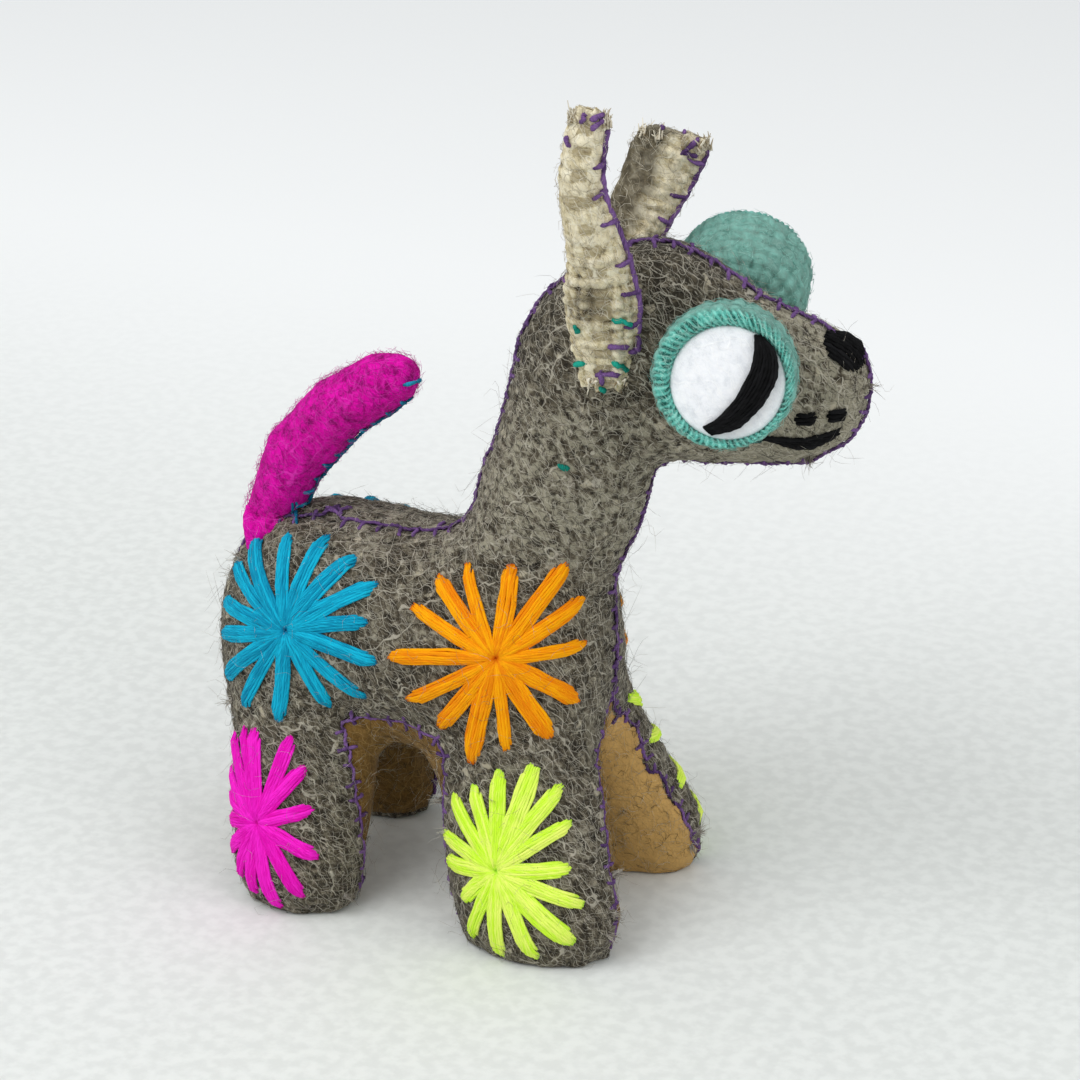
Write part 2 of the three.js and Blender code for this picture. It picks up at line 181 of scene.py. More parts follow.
# %% [markdown]
# ## Small tools for meshes
# Most pieces start from a primitive, or from a copy of the frame's own solid, and their points are then
# moved in code. Reading and writing all the points at once as an array keeps that short and fast. An
# operator works on everything that is selected, so `pick` deselects first.

# %% Selecting, reading and moving points
def pick(*pieces):
    """Selects just these pieces and makes the first one active."""
    bpy.ops.object.select_all(action="DESELECT")
    for piece in pieces:
        piece.select_set(True)
    bpy.context.view_layer.objects.active = pieces[0]


def in_edit_mode(piece, *steps):
    """Runs mesh operators on all of a piece."""
    pick(piece)
    bpy.ops.object.mode_set(mode="EDIT")
    bpy.ops.mesh.select_all(action="SELECT")
    for step in steps:
        step()
    bpy.ops.object.mode_set(mode="OBJECT")


def points_of(piece):
    """All the points of a piece, one in each row."""
    points = np.empty(len(piece.data.vertices) * 3)
    piece.data.vertices.foreach_get("co", points)
    return points.reshape(-1, 3)


def normals_of(piece):
    """The outward direction at each point."""
    normals = np.empty(len(piece.data.vertices) * 3)
    piece.data.vertex_normals.foreach_get("vector", normals)
    return normals.reshape(-1, 3)


def move_points(piece, points):
    """Puts every point of a piece at its new place."""
    piece.data.vertices.foreach_set("co", np.ascontiguousarray(points).ravel())
    piece.data.update()


def smooth_shaded(piece):
    """Shades a piece without showing its faces."""
    piece.data.polygons.foreach_set("use_smooth", [True] * len(piece.data.polygons))
    piece.data.update()


def keep_values(piece, name, values):
    """Stores one number per point, which a material can read as an attribute."""
    layer = piece.data.attributes.new(name, "FLOAT", "POINT")
    layer.data.foreach_set("value", np.ascontiguousarray(values, dtype=np.float32))


def modify(piece, kind, **settings):
    """Adds a modifier with the given settings and applies it."""
    pick(piece)
    bpy.ops.object.modifier_add(type=kind)
    modifier = piece.modifiers[-1]
    for key, value in settings.items():
        setattr(modifier, key, value)
    bpy.ops.object.modifier_apply(modifier=modifier.name)


def triangles(piece):
    """The number of triangles that a piece is drawn with."""
    return sum(len(face.vertices) - 2 for face in piece.data.polygons)


def mottle(points, size, seed=0.0):
    """Smooth random bumps of a given size in metres, from about -1 to 1 at each point.

    Each seed moves the points elsewhere in the noise, so it gives other bumps.
    """
    spots = points / size + 13.7 * (seed + 1)
    return np.array([noise.noise(spot) for spot in spots])


def smooth_step(low, high, values):
    """Rises smoothly from 0 at low to 1 at high."""
    share = np.clip((values - low) / (high - low), 0, 1)
    return share * share * (3 - 2 * share)


def tree_of(piece):
    """A search tree over a piece's faces, for laying thread on it."""
    return BVHTree.FromPolygons(
        [tuple(p) for p in points_of(piece)],
        [tuple(face.vertices) for face in piece.data.polygons],
    )


print("tools ready")

# %% [markdown]
# ## Stuffed cloth
# A stuffed skin is cloth that is blown out from inside and held where it is sewn. A copy of the frame's
# solid is remeshed into even squares, made a little smaller, and inflated by Blender's cloth simulation
# for twenty frames. Points on a seam are pinned, so the cloth pulls in there, as it does on the real
# toy, and no point may move further than a cap. The toy is small and its cloth is light and slack, so
# the pressure is far above what a cushion needs. Two rounds of subdivision then give a fine skin, and
# the skin is settled back onto the outline of the solids, of which it keeps a share of its swelling.

# %% Copying, remeshing and inflating
def cloth_copy(name, *nodes):
    """A merged copy of some solids of the frame, free to be changed."""
    copies = []
    for node in nodes:
        copy = bpy.data.objects.new(name, frame["nodes"][node].data.copy())
        bpy.context.scene.collection.objects.link(copy)
        copies.append(copy)
    pick(*copies)
    if len(copies) > 1:
        bpy.ops.object.join()
    piece = bpy.context.object
    piece.data.materials.clear()
    in_edit_mode(piece, lambda: bpy.ops.mesh.remove_doubles(threshold=1e-6))
    return piece


def remesh(piece, voxel):
    """Rebuilds a piece from even squares of a given size."""
    pick(piece)
    piece.data.remesh_voxel_size = voxel
    bpy.ops.object.voxel_remesh()


def stuff(piece, sewn, cap, pressure=4000.0, frames=20):
    """Inflates the skin. sewn is 0 to 1 at each point, and cap is the furthest that a point may move."""
    start = points_of(piece)
    group = piece.vertex_groups.new(name="sewn")
    for index in np.flatnonzero(sewn > 0.02):
        group.add([int(index)], float(sewn[index]), "REPLACE")
    pick(piece)
    bpy.ops.object.modifier_add(type="CLOTH")
    cloth = piece.modifiers[-1]
    cloth.settings.quality = 4
    cloth.settings.mass = 0.02
    cloth.settings.tension_stiffness = 2
    cloth.settings.compression_stiffness = 2
    cloth.settings.shear_stiffness = 1
    cloth.settings.use_pressure = True
    cloth.settings.uniform_pressure_force = pressure
    cloth.settings.effector_weights.gravity = 0
    cloth.settings.vertex_group_mass = group.name
    cloth.collision_settings.use_collision = False
    cloth.point_cache.frame_end = frames
    for step in range(1, frames + 1):
        bpy.context.scene.frame_set(step)
    bpy.ops.object.modifier_apply(modifier=cloth.name)
    bpy.context.scene.frame_set(1)
    moved = points_of(piece) - start
    length = np.linalg.norm(moved, axis=1)
    move_points(piece, start + moved * np.minimum(1, cap / np.maximum(length, 1e-9))[:, None])
    piece.vertex_groups.clear()
    usual, most = (round(value / MM, 2) for value in (length.mean(), length.max()))
    print(piece.name, "moved", usual, "mm on average and", most, "mm at most")


def outline_of(voxel, *nodes):
    """A search tree over the outer skin of some solids together."""
    piece = cloth_copy("outline", *nodes)
    remesh(piece, voxel)
    tree = tree_of(piece)
    bpy.data.objects.remove(piece)
    return tree


def settle(piece, outline, proud, keep=0.5, rounds=2, evening=24):
    """Brings a stuffed skin back to its outline, and keeps a share of its own swelling each round."""
    ends = np.empty(len(piece.data.edges) * 2, dtype=np.int32)
    piece.data.edges.foreach_get("vertices", ends)
    first, second = ends.reshape(-1, 2).T
    count = len(piece.data.vertices)
    links = np.bincount(first, minlength=count) + np.bincount(second, minlength=count)
    for _ in range(rounds):
        points = points_of(piece)
        off = np.empty(count)
        for index, point in enumerate(points):
            spot, normal, _, _ = outline.find_nearest(point)
            off[index] = (Vector(point) - spot).dot(normal) - proud
        for _ in range(evening):
            near = np.bincount(first, off[second], count) + np.bincount(second, off[first], count)
            off = 0.5 * off + 0.5 * near / links
        move_points(piece, points - normals_of(piece) * (off * (1 - keep))[:, None])
    print(piece.name, "now lies", round(off.mean() * keep / MM, 2), "mm off its outline")


print("stuffing ready")

# %% [markdown]
# ## The body
# Two panels of grey wool cloth are sewn together along the dog's middle, and brown felt closes it below.
# Both solids of the frame are joined into one skin here, because stuffing presses on them together. The
# seam line of the felt is where the skin is as far from the one solid as from the other. On the far
# front leg the wool wraps further round the front, so there the question is asked a little further
# forwards and up, by WOOL_WRAP.

# %% Body skin
BODY_VOXEL = 3.0 * MM
SHRINK = 1.0 * MM
NECK_FOOT, NECK_TOP = 66, 118
WOOL_WRAP = (3.2 * MM, 0, 2.4 * MM)
dog = cloth_copy("dog_skin", "body", "underside")
remesh(dog, BODY_VOXEL)
in_edit_mode(dog, lambda: bpy.ops.transform.shrink_fatten(value=-SHRINK))
body_tree = tree_of(frame["nodes"]["body"])
felt_tree = tree_of(frame["nodes"]["underside"])


def pattern_places(points):
    """The x, y and z of each point in the dog's pattern, in millimetres."""
    return (np.array(points) / MM - np.array(PATTERN_ORIGIN)).T


def middle_turn(z):
    """How far the dog's middle sheet is turned at a height, in radians: not at all in the trunk."""
    return HEAD_TURN * np.clip((z - NECK_FOOT) / (NECK_TOP - NECK_FOOT), 0, 1)


def off_middle(points):
    """Distance of each point from the dog's middle sheet, in metres."""
    x, y, z = pattern_places(points)
    turn = middle_turn(z)
    return (np.cos(turn) * y - np.sin(turn) * (x - NECK.x)) * MM


def off_felt_seam(points):
    """Distance from the edge of the felt, above 0 on the grey wool and below 0 on the felt."""
    values = []
    x, y, z = pattern_places(points)
    wrapped = smooth_step(5, 11, x) * smooth_step(-3, 5, y) * (1 - smooth_step(46, 60, z))
    for point in np.array(points) + np.outer(wrapped, WOOL_WRAP):
        on_felt, _, _, to_felt = felt_tree.find_nearest(point)
        on_body, _, _, to_body = body_tree.find_nearest(point)
        if to_body < to_felt:
            values.append(felt_tree.find_nearest(on_body)[3])
        else:
            values.append(-body_tree.find_nearest(on_felt)[3])
    return np.array(values)


SOLE = 1.5 * MM
skin_points = points_of(dog)
seam_distance = np.minimum(np.abs(off_middle(skin_points)), np.abs(off_felt_seam(skin_points)))
sewn = 1 - smooth_step(1.0 * MM, 2.2 * MM, seam_distance)
sewn = np.maximum(sewn, (skin_points[:, 2] < SOLE).astype(float))
stuff(dog, sewn, cap=2.2 * MM)
modify(dog, "SUBSURF", levels=2, render_levels=2)
settle(dog, outline_of(1.5 * MM, "body", "underside"), proud=0.45 * MM)
smooth_skin = tree_of(dog)
print("body skin:", triangles(dog), "triangles")

# %% [markdown]
# The cloth is coarse: felted lumps everywhere, and on the rump, the hind legs and the neck the rows of
# the weave still show as ribs. That relief is real mesh. It is a few tenths of a millimetre of random
# bumps along the normals, with the ribs laid over them, and a groove where each seam pulls in. The same
# height is stored on the points, so that the materials can paint shade into the hollows as a darker colour.

# %% Relief of the wool cloth
RIB_PITCH = 2.3
KNOT_PITCH = 3.4
LOWEST = 0.25 * MM
skin_points = points_of(dog)
skin_normals = normals_of(dog)
along, across, up = pattern_places(skin_points)
off_seam = off_felt_seam(skin_points)
off_mid = off_middle(skin_points)
lumps = 0.3 * mottle(skin_points, 1.7 * MM) + 0.3 * mottle(skin_points, 3.6 * MM, 3)
wander = 1.3 * mottle(skin_points, 16 * MM, 5)
rib_rows = np.sin((up + 0.25 * along + wander) * 2 * math.pi / RIB_PITCH)
knots = np.sin((along * 0.9 - up * 0.3 + 2 * wander) * 2 * math.pi / KNOT_PITCH)
rump = 1 - smooth_step(-42, -18, along)
nape = smooth_step(70, 90, up) * (1 - smooth_step(112, 124, up))
faded = 0.6 + 0.5 * mottle(skin_points, 11 * MM, 8)
rib_strength = np.clip(0.35 + 0.65 * rump + 0.35 * nape, 0, 1) * faded
ribs = 0.34 * rib_rows * (0.75 + 0.25 * knots) * rib_strength
on_wool = smooth_step(0, 0.8 * MM, off_seam)
height = (lumps + ribs) * on_wool + 0.06 * mottle(skin_points, 3 * MM, 2) * (1 - on_wool)
groove = 0.4 * np.exp(-(off_mid / (0.9 * MM)) ** 2) * on_wool
edge = 0.3 * np.exp(-((off_seam / MM - 1.0) / 0.7) ** 2)
skin_points += skin_normals * ((height - groove + edge) * MM)[:, None]
skin_points[:, 2] = np.maximum(skin_points[:, 2], LOWEST)
move_points(dog, skin_points)
# The relief is also painted shade: the materials darken the colour where it is low.
keep_values(dog, "relief", height - groove)
keep_values(dog, "off_seam", off_seam / MM)
print("relief from", round(height.min(), 2), "to", round(height.max(), 2), "mm")

# %% [markdown]
# The grey of the wool gets painted light and painted shade: the muzzle and the neck are painted paler
# than the trunk, and the crown of the head is painted darker. Slow patches of real tone run through all
# of it. On the felt, the inner side of the far front leg gets painted light, and the rest of the felt,
# with the arch of the belly, gets painted shade. A tone from 0 to 1 on each point keeps all that, and
# the materials mix a dark or a pale shade in by it.

# %% Tone of the wool and the felt
# Painted light on the muzzle and the neck and painted shade on the crown; the mottle adds real tone.
painted_light_muzzle = smooth_step(40, 54, along) * smooth_step(98, 106, up)
painted_shade_crown = smooth_step(126, 140, up) * (1 - painted_light_muzzle)
painted_light_neck = smooth_step(72, 90, up) * (1 - smooth_step(112, 126, up))
wool_tone_and_painted_light = 0.34 + 0.52 * painted_light_muzzle + 0.34 * painted_light_neck - 0.3 * painted_shade_crown + 0.3 * mottle(skin_points, 7 * MM, 9)
# On the felt: painted light on the inner side of the far front leg, painted shade over the rest and the
# belly's arch.
painted_light_far_front = smooth_step(-12, 0, along) * smooth_step(0, 4, across)
tone_and_painted_light = np.clip(np.where(off_seam < 0, 0.06 + 0.8 * painted_light_far_front, wool_tone_and_painted_light), 0, 1)
keep_values(dog, "tone_and_painted_light", tone_and_painted_light)
print("tone of the wool:", round(float(tone_and_painted_light[off_seam > 0].mean()), 2), "on average")

# %% [markdown]
# ## The brown felt underside
# The felt is its own piece on the real dog, so it is its own piece here: the faces on the felt's side of
# the seam are duplicated and separated, and Solidify gives them the felt's thickness inwards. A plain
# felt needs fewer faces than the wool, so Decimate thins them. The grey body keeps a closed skin, pushed
# in under the felt by a little more than the felt is thick.

# %% Felt underside
FELT = 1.5 * MM
GAP = 0.4 * MM


def mark_faces(piece, marks):
    """Selects the faces whose points are all marked, and nothing else."""
    for parts in (piece.data.vertices, piece.data.edges):
        parts.foreach_set("select", [False] * len(parts))
    piece.data.polygons.foreach_set(
        "select", [all(marks[v] for v in face.vertices) for face in piece.data.polygons]
    )


def values_of(piece, name):
    """The numbers that were kept on the points of a piece."""
    values = np.empty(len(piece.data.vertices))
    piece.data.attributes[name].data.foreach_get("value", values)
    return values


pick(dog)
mark_faces(dog, off_seam < 0)
bpy.ops.object.mode_set(mode="EDIT")
bpy.ops.mesh.select_mode(type="FACE")
bpy.ops.mesh.duplicate()
bpy.ops.mesh.separate(type="SELECTED")
bpy.ops.object.mode_set(mode="OBJECT")
felt = next(piece for piece in bpy.context.selected_objects if piece is not dog)
felt.name = "felt_underside"
dog.name = "wool_body"
modify(felt, "SOLIDIFY", thickness=FELT, offset=-1)
modify(felt, "DECIMATE", ratio=0.45)
smooth_shaded(felt)

depth = (FELT + GAP) * smooth_step(0, 1.4, -values_of(dog, "off_seam"))
move_points(dog, points_of(dog) - normals_of(dog) * depth[:, None])
smooth_shaded(dog)
print("felt:", triangles(felt), "triangles, body:", triangles(dog))

# %% [markdown]
# ## Yarn
# Every stitch is real yarn. A bevelled curve is the natural way: its points lie where the yarn goes, a
# radius at each point lets it thin out where it dives into the cloth, and a bevel outline with one lobe
# for each ply, turned by the curve's tilt, gives the twist. All the strands of one piece share a curve,
# which is then made a mesh. Each strand keeps a random number, so that its shade can differ a little.
# The smaller helpers lay a thread over a skin: they walk in steps and drop each one onto the cloth.

# %% Spinning yarn
TWIST_LENGTH = 9 * MM
LOWEST_YARN = 0.5 * MM
ANY_TURN = 6.3
LOBE = 0.2


def ply_outline(plies, corners):
    """A closed outline one unit in radius with a lobe for each ply."""
    outline = bpy.data.curves.new("ply_outline", "CURVE")
    spline = outline.splines.new("POLY")
    spline.use_cyclic_u = True
    spline.points.add(corners - 1)
    for index, point in enumerate(spline.points):
        angle = 2 * math.pi * index / corners
        reach = 1 + (LOBE * math.cos(plies * angle) if plies > 1 else 0)
        point.co = (reach * math.cos(angle), reach * math.sin(angle), 0, 1)
    return bpy.data.objects.new("ply_outline", outline)


def yarn(name, strands, thickness, plies=3, corners=9, twist=TWIST_LENGTH):
    """A mesh of strands. Each strand is its points and its share of the thickness at each of them."""
    outline = ply_outline(plies, corners)
    curve = bpy.data.curves.new(name, "CURVE")
    curve.dimensions = "3D"
    curve.bevel_mode = "OBJECT"
    curve.bevel_object = outline
    curve.use_fill_caps = True
    for path, shares in strands:
        path = np.asarray(path)
        spline = curve.splines.new("POLY")
        spline.points.add(len(path) - 1)
        spline.points.foreach_set("co", np.column_stack([path, np.ones(len(path))]).ravel())
        spline.points.foreach_set("radius", np.asarray(shares) * thickness / 2)
        run = np.concatenate([[0], np.cumsum(np.linalg.norm(np.diff(path, axis=0), axis=1))])
        spline.points.foreach_set("tilt", run / twist * 2 * math.pi + dice.uniform(0, ANY_TURN))
    piece = bpy.data.objects.new(name, curve)
    bpy.context.scene.collection.objects.link(piece)
    pick(piece)
    bpy.ops.object.convert(target="MESH")
    bpy.data.objects.remove(outline)
    ring_counts = [(len(path) + 2) * corners for path, _ in strands]
    keep_values(piece, "strand", np.repeat(dice.random(len(strands)), ring_counts))
    in_edit_mode(
        piece,
        lambda: bpy.ops.mesh.remove_doubles(threshold=1e-8),
        lambda: bpy.ops.mesh.normals_make_consistent(inside=False),
    )
    smooth_shaded(piece)
    return piece


def onto(tree, place, height=0.0):
    """The nearest place on a skin, raised off it, and the skin's normal there."""
    spot, normal, _, _ = tree.find_nearest(place)
    return spot + normal * height, normal


def lay(tree, start, heading, length, steps):
    """Walks over a skin from a start, and gives places, normals and sideways directions."""
    place, normal = onto(tree, start)
    way = (heading - normal * heading.dot(normal)).normalized()
    places, normals, across = [place], [normal], [normal.cross(way)]
    for _ in range(steps):
        place, normal = onto(tree, place + way * (length / steps))
        way = (way - normal * way.dot(normal)).normalized()
        places.append(place)
        normals.append(normal)
        across.append(normal.cross(way))
    return np.array(places), np.array(normals), np.array(across)


def compass(tree, near):
    """A skin's directions forwards and upwards at a place, as seen from outside the dog."""
    place, normal = onto(tree, near)
    up = (UP - normal * UP.dot(normal)).normalized()
    return place, up.cross(normal), up


print("one twist of the plies in mm:", TWIST_LENGTH / MM)

# %% [markdown]
# ## Stars
# A star is sewn from one hole: each ray is a few fine loose strands side by side that come up in the
# middle, fan out and go down together at the tip, higher in the middle of the ray than at its sides. The
# strands are of a single ply with hardly any twist, because a tight twist on so thin a yarn pinches it.
# The rays that the photograph shows were each noted as a direction in degrees, with 0 to the dog's front,
# a length and, where it is a broad one, a width in millimetres. The dog's left side gets them mirrored,
# and its lime star reaches further forwards, because its tips show round the front of the far leg. A ray
# that would cross onto the felt ends before the seam.

# %% Rays of the stars
STARS = {
    "blue": ((-41.6, 21.5, 62.1), [
        (133, 25.4, 3.7), (107, 22.1), (81, 22.7), (58, 22.0, 3.6), (36, 22.6), (16, 18.5),
        (351, 21.0, 3.6), (324, 21.7), (300, 19.0), (265, 21.3), (240, 23.7), (220, 25.3),
        (195, 21.8, 3.4), (174, 22.1), (151, 24.3),
    ]),
    "orange": ((5.1, 20.4, 64.5), [
        (135, 21.8, 3.5), (115, 20.7, 2.7), (84, 19.6, 3.6), (57, 24.7, 3.6), (37, 22.3),
        (10, 19.3, 2.8), (333, 20.4, 3.8), (305, 20.9, 4.2), (277, 20.6, 2.7), (257, 25.2, 4.0),
        (234, 22.8, 3.5), (212, 23.7), (187, 24.3, 3.3), (157, 21.4, 2.9),
    ]),
    "pink": ((-45.3, 28.7, 19.5), [
        (129, 20.9), (115, 20.6), (105, 20.3, 3.4), (79, 20.8, 3.2), (61, 16.7), (28, 13.1),
        (345, 15.2, 3.4), (312, 18.7), (289, 19.9, 3.3), (269, 17.2), (250, 15.5), (222, 16),
        (197, 16), (174, 17), (153, 17.4),
    ]),
    "lime": ((8.9, 28.8, 20.2), [
        (138, 19.4), (117, 18.3, 3.3), (97, 21.2, 3.4), (79, 24.1, 4.2), (62, 23.1, 3.3),
        (43, 19.1), (13, 16.0), (349, 19.7, 3.2), (326, 22.4, 4.4), (300, 20.7), (275, 19.7, 3.5),
        (249, 18.6), (227, 12.5), (188, 15.6), (169, 20.6, 3.2),
    ]),
}
RAY_WIDTH = 3.2
FAR_LIME_EXTRA = 10.5
print("rays:", {colour: len(rays) for colour, (_, rays) in STARS.items()})

# %% Stars
STAR_YARN = 0.78 * MM
STAR_TWIST = 60 * MM
SEAM_CLEARANCE = 0.4 * MM
STRAND_SPACING = 0.5
RAY_STEPS = 14
RAY_SHARES = np.array([0, 0.05, 0.14, 0.28, 0.45, 0.62, 0.78, 0.9, 0.97, 1.0])


def between(rows, spot):
    """The rows of a list at places between its entries."""
    low = np.floor(spot).astype(int).clip(0, len(rows) - 2)
    part = (spot - low)[:, None]
    return rows[low] * (1 - part) + rows[low + 1] * part


def ray(tree, centre, heading, length, width):
    """The strands of one ray, which fan out from the hole and dive at the tip, still on the wool."""
    strands = []
    walk = lay(tree, centre, heading, length * MM, RAY_STEPS)
    past_seam = off_felt_seam(walk[0]) < SEAM_CLEARANCE
    if past_seam.any():
        length *= (past_seam.argmax() - 1) / RAY_STEPS
        walk = lay(tree, centre, heading, length * MM, RAY_STEPS)
    count = max(round(width / STRAND_SPACING), 5)
    lean = dice.uniform(-0.5, 0.5)
    share = RAY_SHARES
    fan = smooth_step(-0.12, 0.34, share) * (1 - 0.12 * smooth_step(0.85, 1, share))
    for number in range(count):
        lane = number / (count - 1) * 2 - 1
        rounded = (1 - math.sqrt(1 - 0.95 * lane * lane)) * width * 0.5 / length
        reach = 1.01 - rounded - 0.02 * dice.random()
        strayed = dice.normal(0, 0.08, len(share))
        aside = lane * (width / 2 - 0.3) * fan + lean * np.sin(math.pi * share) + strayed
        dome = (1 - 0.6 * lane * lane) * (0.35 + 0.3 * smooth_step(0, 0.3, share))
        rise = 0.15 + dome + 0.5 * np.exp(-((share - 0.1) / 0.1) ** 2)
        rise = rise - 1.0 * smooth_step(0.88, 1, share) - 0.9 * smooth_step(0.06, 0, share)
        places, normals, across = (between(rows, share * reach * RAY_STEPS) for rows in walk)
        path = places + (normals * rise[:, None] + across * aside[:, None]) * MM
        path[:, 2] = np.maximum(path[:, 2], LOWEST_YARN)
        strands.append((path, np.interp(share, [0, 0.12, 0.9, 1], [0.75, 1, 1, 0.8])))
    return strands


stars = {}
for side, sign in SIDES.items():
    for colour, ((x, y, z), rays) in STARS.items():
        centre, forwards, upwards = compass(smooth_skin, at(x, sign * y, z))
        if sign > 0:
            forwards = -forwards
        strands = []
        for degrees, length, *broad in rays:
            angle = math.radians(degrees)
            heading = forwards * math.cos(angle) + upwards * math.sin(angle)
            width = broad[0] if broad else RAY_WIDTH * dice.uniform(0.92, 1.1)
            if colour == "lime" and sign > 0 and math.cos(angle) > 0.4:
                length += FAR_LIME_EXTRA
            strands += ray(smooth_skin, centre, heading, length, width)
        name = "star_" + colour + "_" + side
        stars[name] = yarn("yarn_" + name, strands, STAR_YARN, plies=1, corners=6, twist=STAR_TWIST)
print("triangles in a star:", triangles(stars["star_blue_right"]))

# %% [markdown]
# ## Seams
# The panels are joined by blanket stitch in purple yarn: a thread runs along the edge, and every few
# millimetres a short leg of it crosses the edge and goes into the cloth. The path of the middle seam is
# found by walking over the skin while staying on the dog's middle sheet. The path round the felt is the
# rim of the felt piece itself.

# %% Seam paths
SEAM_STEP = 1.0 * MM


def walk_middle(start, sign):
    """Follows the dog's middle over the skin to the felt, forwards over the back for a sign of 1."""
    place, normal = onto(smooth_skin, start)
    path = [place]
    for _ in range(500):
        turn = float(middle_turn((place / MM - PATTERN_ORIGIN).z))
        sheet = Vector((-math.sin(turn), math.cos(turn), 0))
        way = sheet.cross(normal).normalized() * sign
        place = place + way * SEAM_STEP
        place = place - sheet * float(off_middle(np.array([place]))[0])
        place, normal = onto(smooth_skin, place)
        path.append(place)
        if off_felt_seam(np.array([place]))[0] < 0:
            break
    return np.array(path)


def walk_felt_edge(start, steps=900):
    """Follows the edge of the felt over the skin, all the way round."""
    place, normal = onto(smooth_skin, start)
    path = [place]
    probe = 0.9 * MM
    for _ in range(steps):
        ahead = normal.orthogonal().normalized()
        aside = normal.cross(ahead)
        probes = [
            place, place + ahead * probe, place - ahead * probe,
            place + aside * probe, place - aside * probe,
        ]
        here, one, two, three, four = off_felt_seam(probes)
        slope = (ahead * (one - two) + aside * (three - four)).normalized()
        way = slope.cross(normal)
        place = place + way * SEAM_STEP - slope * float(np.clip(here, -0.6 * MM, 0.6 * MM)) * 0.7
        place, normal = onto(smooth_skin, place)
        path.append(place)
        if len(path) > 100 and (place - path[0]).length < 1.2 * SEAM_STEP:
            break
    return np.array(path)


ABOVE_BACK = at(-40, 0, 90)
top_seam = walk_middle(ABOVE_BACK, 1)
rear_seam = walk_middle(ABOVE_BACK, -1)
felt_edge = walk_felt_edge(Vector(top_seam[-1]))
print("middle seam:", len(top_seam), "mm over the top and", len(rear_seam), "mm down the rump")
edge_gap = np.linalg.norm(felt_edge[0] - felt_edge[-1]) / MM
print("felt edge:", len(felt_edge), "mm, closed to", round(edge_gap, 1), "mm")

# %% Blanket stitch
SEAM_YARN = 0.85 * MM
SEAM_TWIST = 3.2 * MM
STITCH_TWIST = 7 * MM


def evened(path, step, closed=False):
    """The same path with its jitter smoothed out and its points evenly spaced."""
    points = np.array(path)
    for _ in range(4):
        before, after = np.roll(points, 1, axis=0), np.roll(points, -1, axis=0)
        smoothed = (before + 2 * points + after) / 4
        if not closed:
            smoothed[0], smoothed[-1] = points[0], points[-1]
        points = smoothed
    run = np.concatenate([[0], np.cumsum(np.linalg.norm(np.diff(points, axis=0), axis=1))])
    marks = np.arange(0, run[-1], step)
    return np.column_stack([np.interp(marks, run, points[:, axis]) for axis in range(3)])


def stitch(tree, start, heading, length, rise=0.45, steps=5):
    """One short stitch over the cloth that goes in at both ends."""
    places, normals, _ = lay(tree, start, heading, length, steps)
    share = np.linspace(0, 1, steps + 1)
    heights = rise * np.sin(math.pi * share) ** 0.5 - 0.45 * smooth_step(0.75, 1, share)
    return places + normals * (heights * MM)[:, None], np.interp(share, [0, 0.2, 0.8, 1], [0.8, 1, 1, 0.6])


def blanket_stitch(tree, path, spacing, leg, ways, rise=0.1):
    """The running thread along an edge and its legs. ways holds -1, 1 or both, for the sides they go to."""
    points = evened(path, SEAM_STEP)
    strands = []
    thread = []
    ahead = np.gradient(points, axis=0)
    every = spacing / SEAM_STEP
    for index, point in enumerate(points):
        place, normal = onto(tree, Vector(point))
        across = normal.cross(Vector(ahead[index])).normalized()
        pull = 0.32 * math.cos(2 * math.pi * index / every) * ways[0]
        sunk = 0.4 * noise.noise(place / (6 * MM))
        thread.append(place + normal * (rise + sunk) * MM + across * pull * MM)
        if index % max(int(every), 1) == int(every) // 2:
            lean = Vector(ahead[index]).normalized() * dice.uniform(-0.3, 0.3)
            for way in ways if dice.random() < 0.4 else ways[:1]:
                length = leg * dice.uniform(0.75, 1.2)
                strands.append(stitch(tree, place, across * way + lean, length, rise=rise + 0.15))
    strands.append((np.array(thread), 1 + 0.12 * dice.standard_normal(len(thread))))
    return strands


middle_strands = blanket_stitch(smooth_skin, top_seam, 4.8 * MM, 3.0 * MM, (-1, 1))
middle_strands += blanket_stitch(smooth_skin, rear_seam, 4.8 * MM, 2.4 * MM, (1, -1))
middle_seam = yarn("seam_middle", middle_strands, SEAM_YARN, plies=2, corners=8, twist=SEAM_TWIST)
above_sole = felt_edge[:, 2] > 2.6 * MM
runs = np.split(np.arange(len(felt_edge)), np.flatnonzero(np.diff(above_sole.astype(int))) + 1)
edge_strands = []
for run in runs:
    if above_sole[run[0]] and len(run) > 8:
        edge_strands += blanket_stitch(smooth_skin, felt_edge[run], 4.4 * MM, 2.2 * MM, (1, -1))
felt_seam = yarn("seam_felt_edge", edge_strands, SEAM_YARN, plies=2, corners=8, twist=SEAM_TWIST)
print("seam yarn:", triangles(middle_seam) + triangles(felt_seam), "triangles in", len(runs), "runs")

# %% [markdown]
# ## Tail
# The tail is a stuffed roll of magenta felt, sewn shut along its inner edge with blue blanket stitch.
# It is made as the body is, with the seam pinned, and it ends in a small flap of felt on the rump.

# %% Tail
TAIL_SPINE = np.array([
    (-50.6, 0, 71), (-54.8, 0, 81.2), (-47.7, 0, 94.4), (-36.6, 0, 106.6), (-22, 0, 115.4),
])
TAIL_RADIUS = 7.5


def smooth_curve(knots, shares):
    """Points along a smooth curve through some knots, for shares from 0 to 1."""
    knots = np.asarray(knots, float)
    padded = np.vstack([2 * knots[0] - knots[1], knots, 2 * knots[-1] - knots[-2]])
    spots = np.clip(np.asarray(shares) * (len(knots) - 1), 0, len(knots) - 1 - 1e-9)
    low = spots.astype(int)
    t = (spots - low)[:, None]
    a, b, c, d = (padded[low + k] for k in range(4))
    squared, cubed = 2 * a - 5 * b + 4 * c - d, 3 * b - a - 3 * c + d
    return 0.5 * (2 * b + (c - a) * t + squared * t ** 2 + cubed * t ** 3)


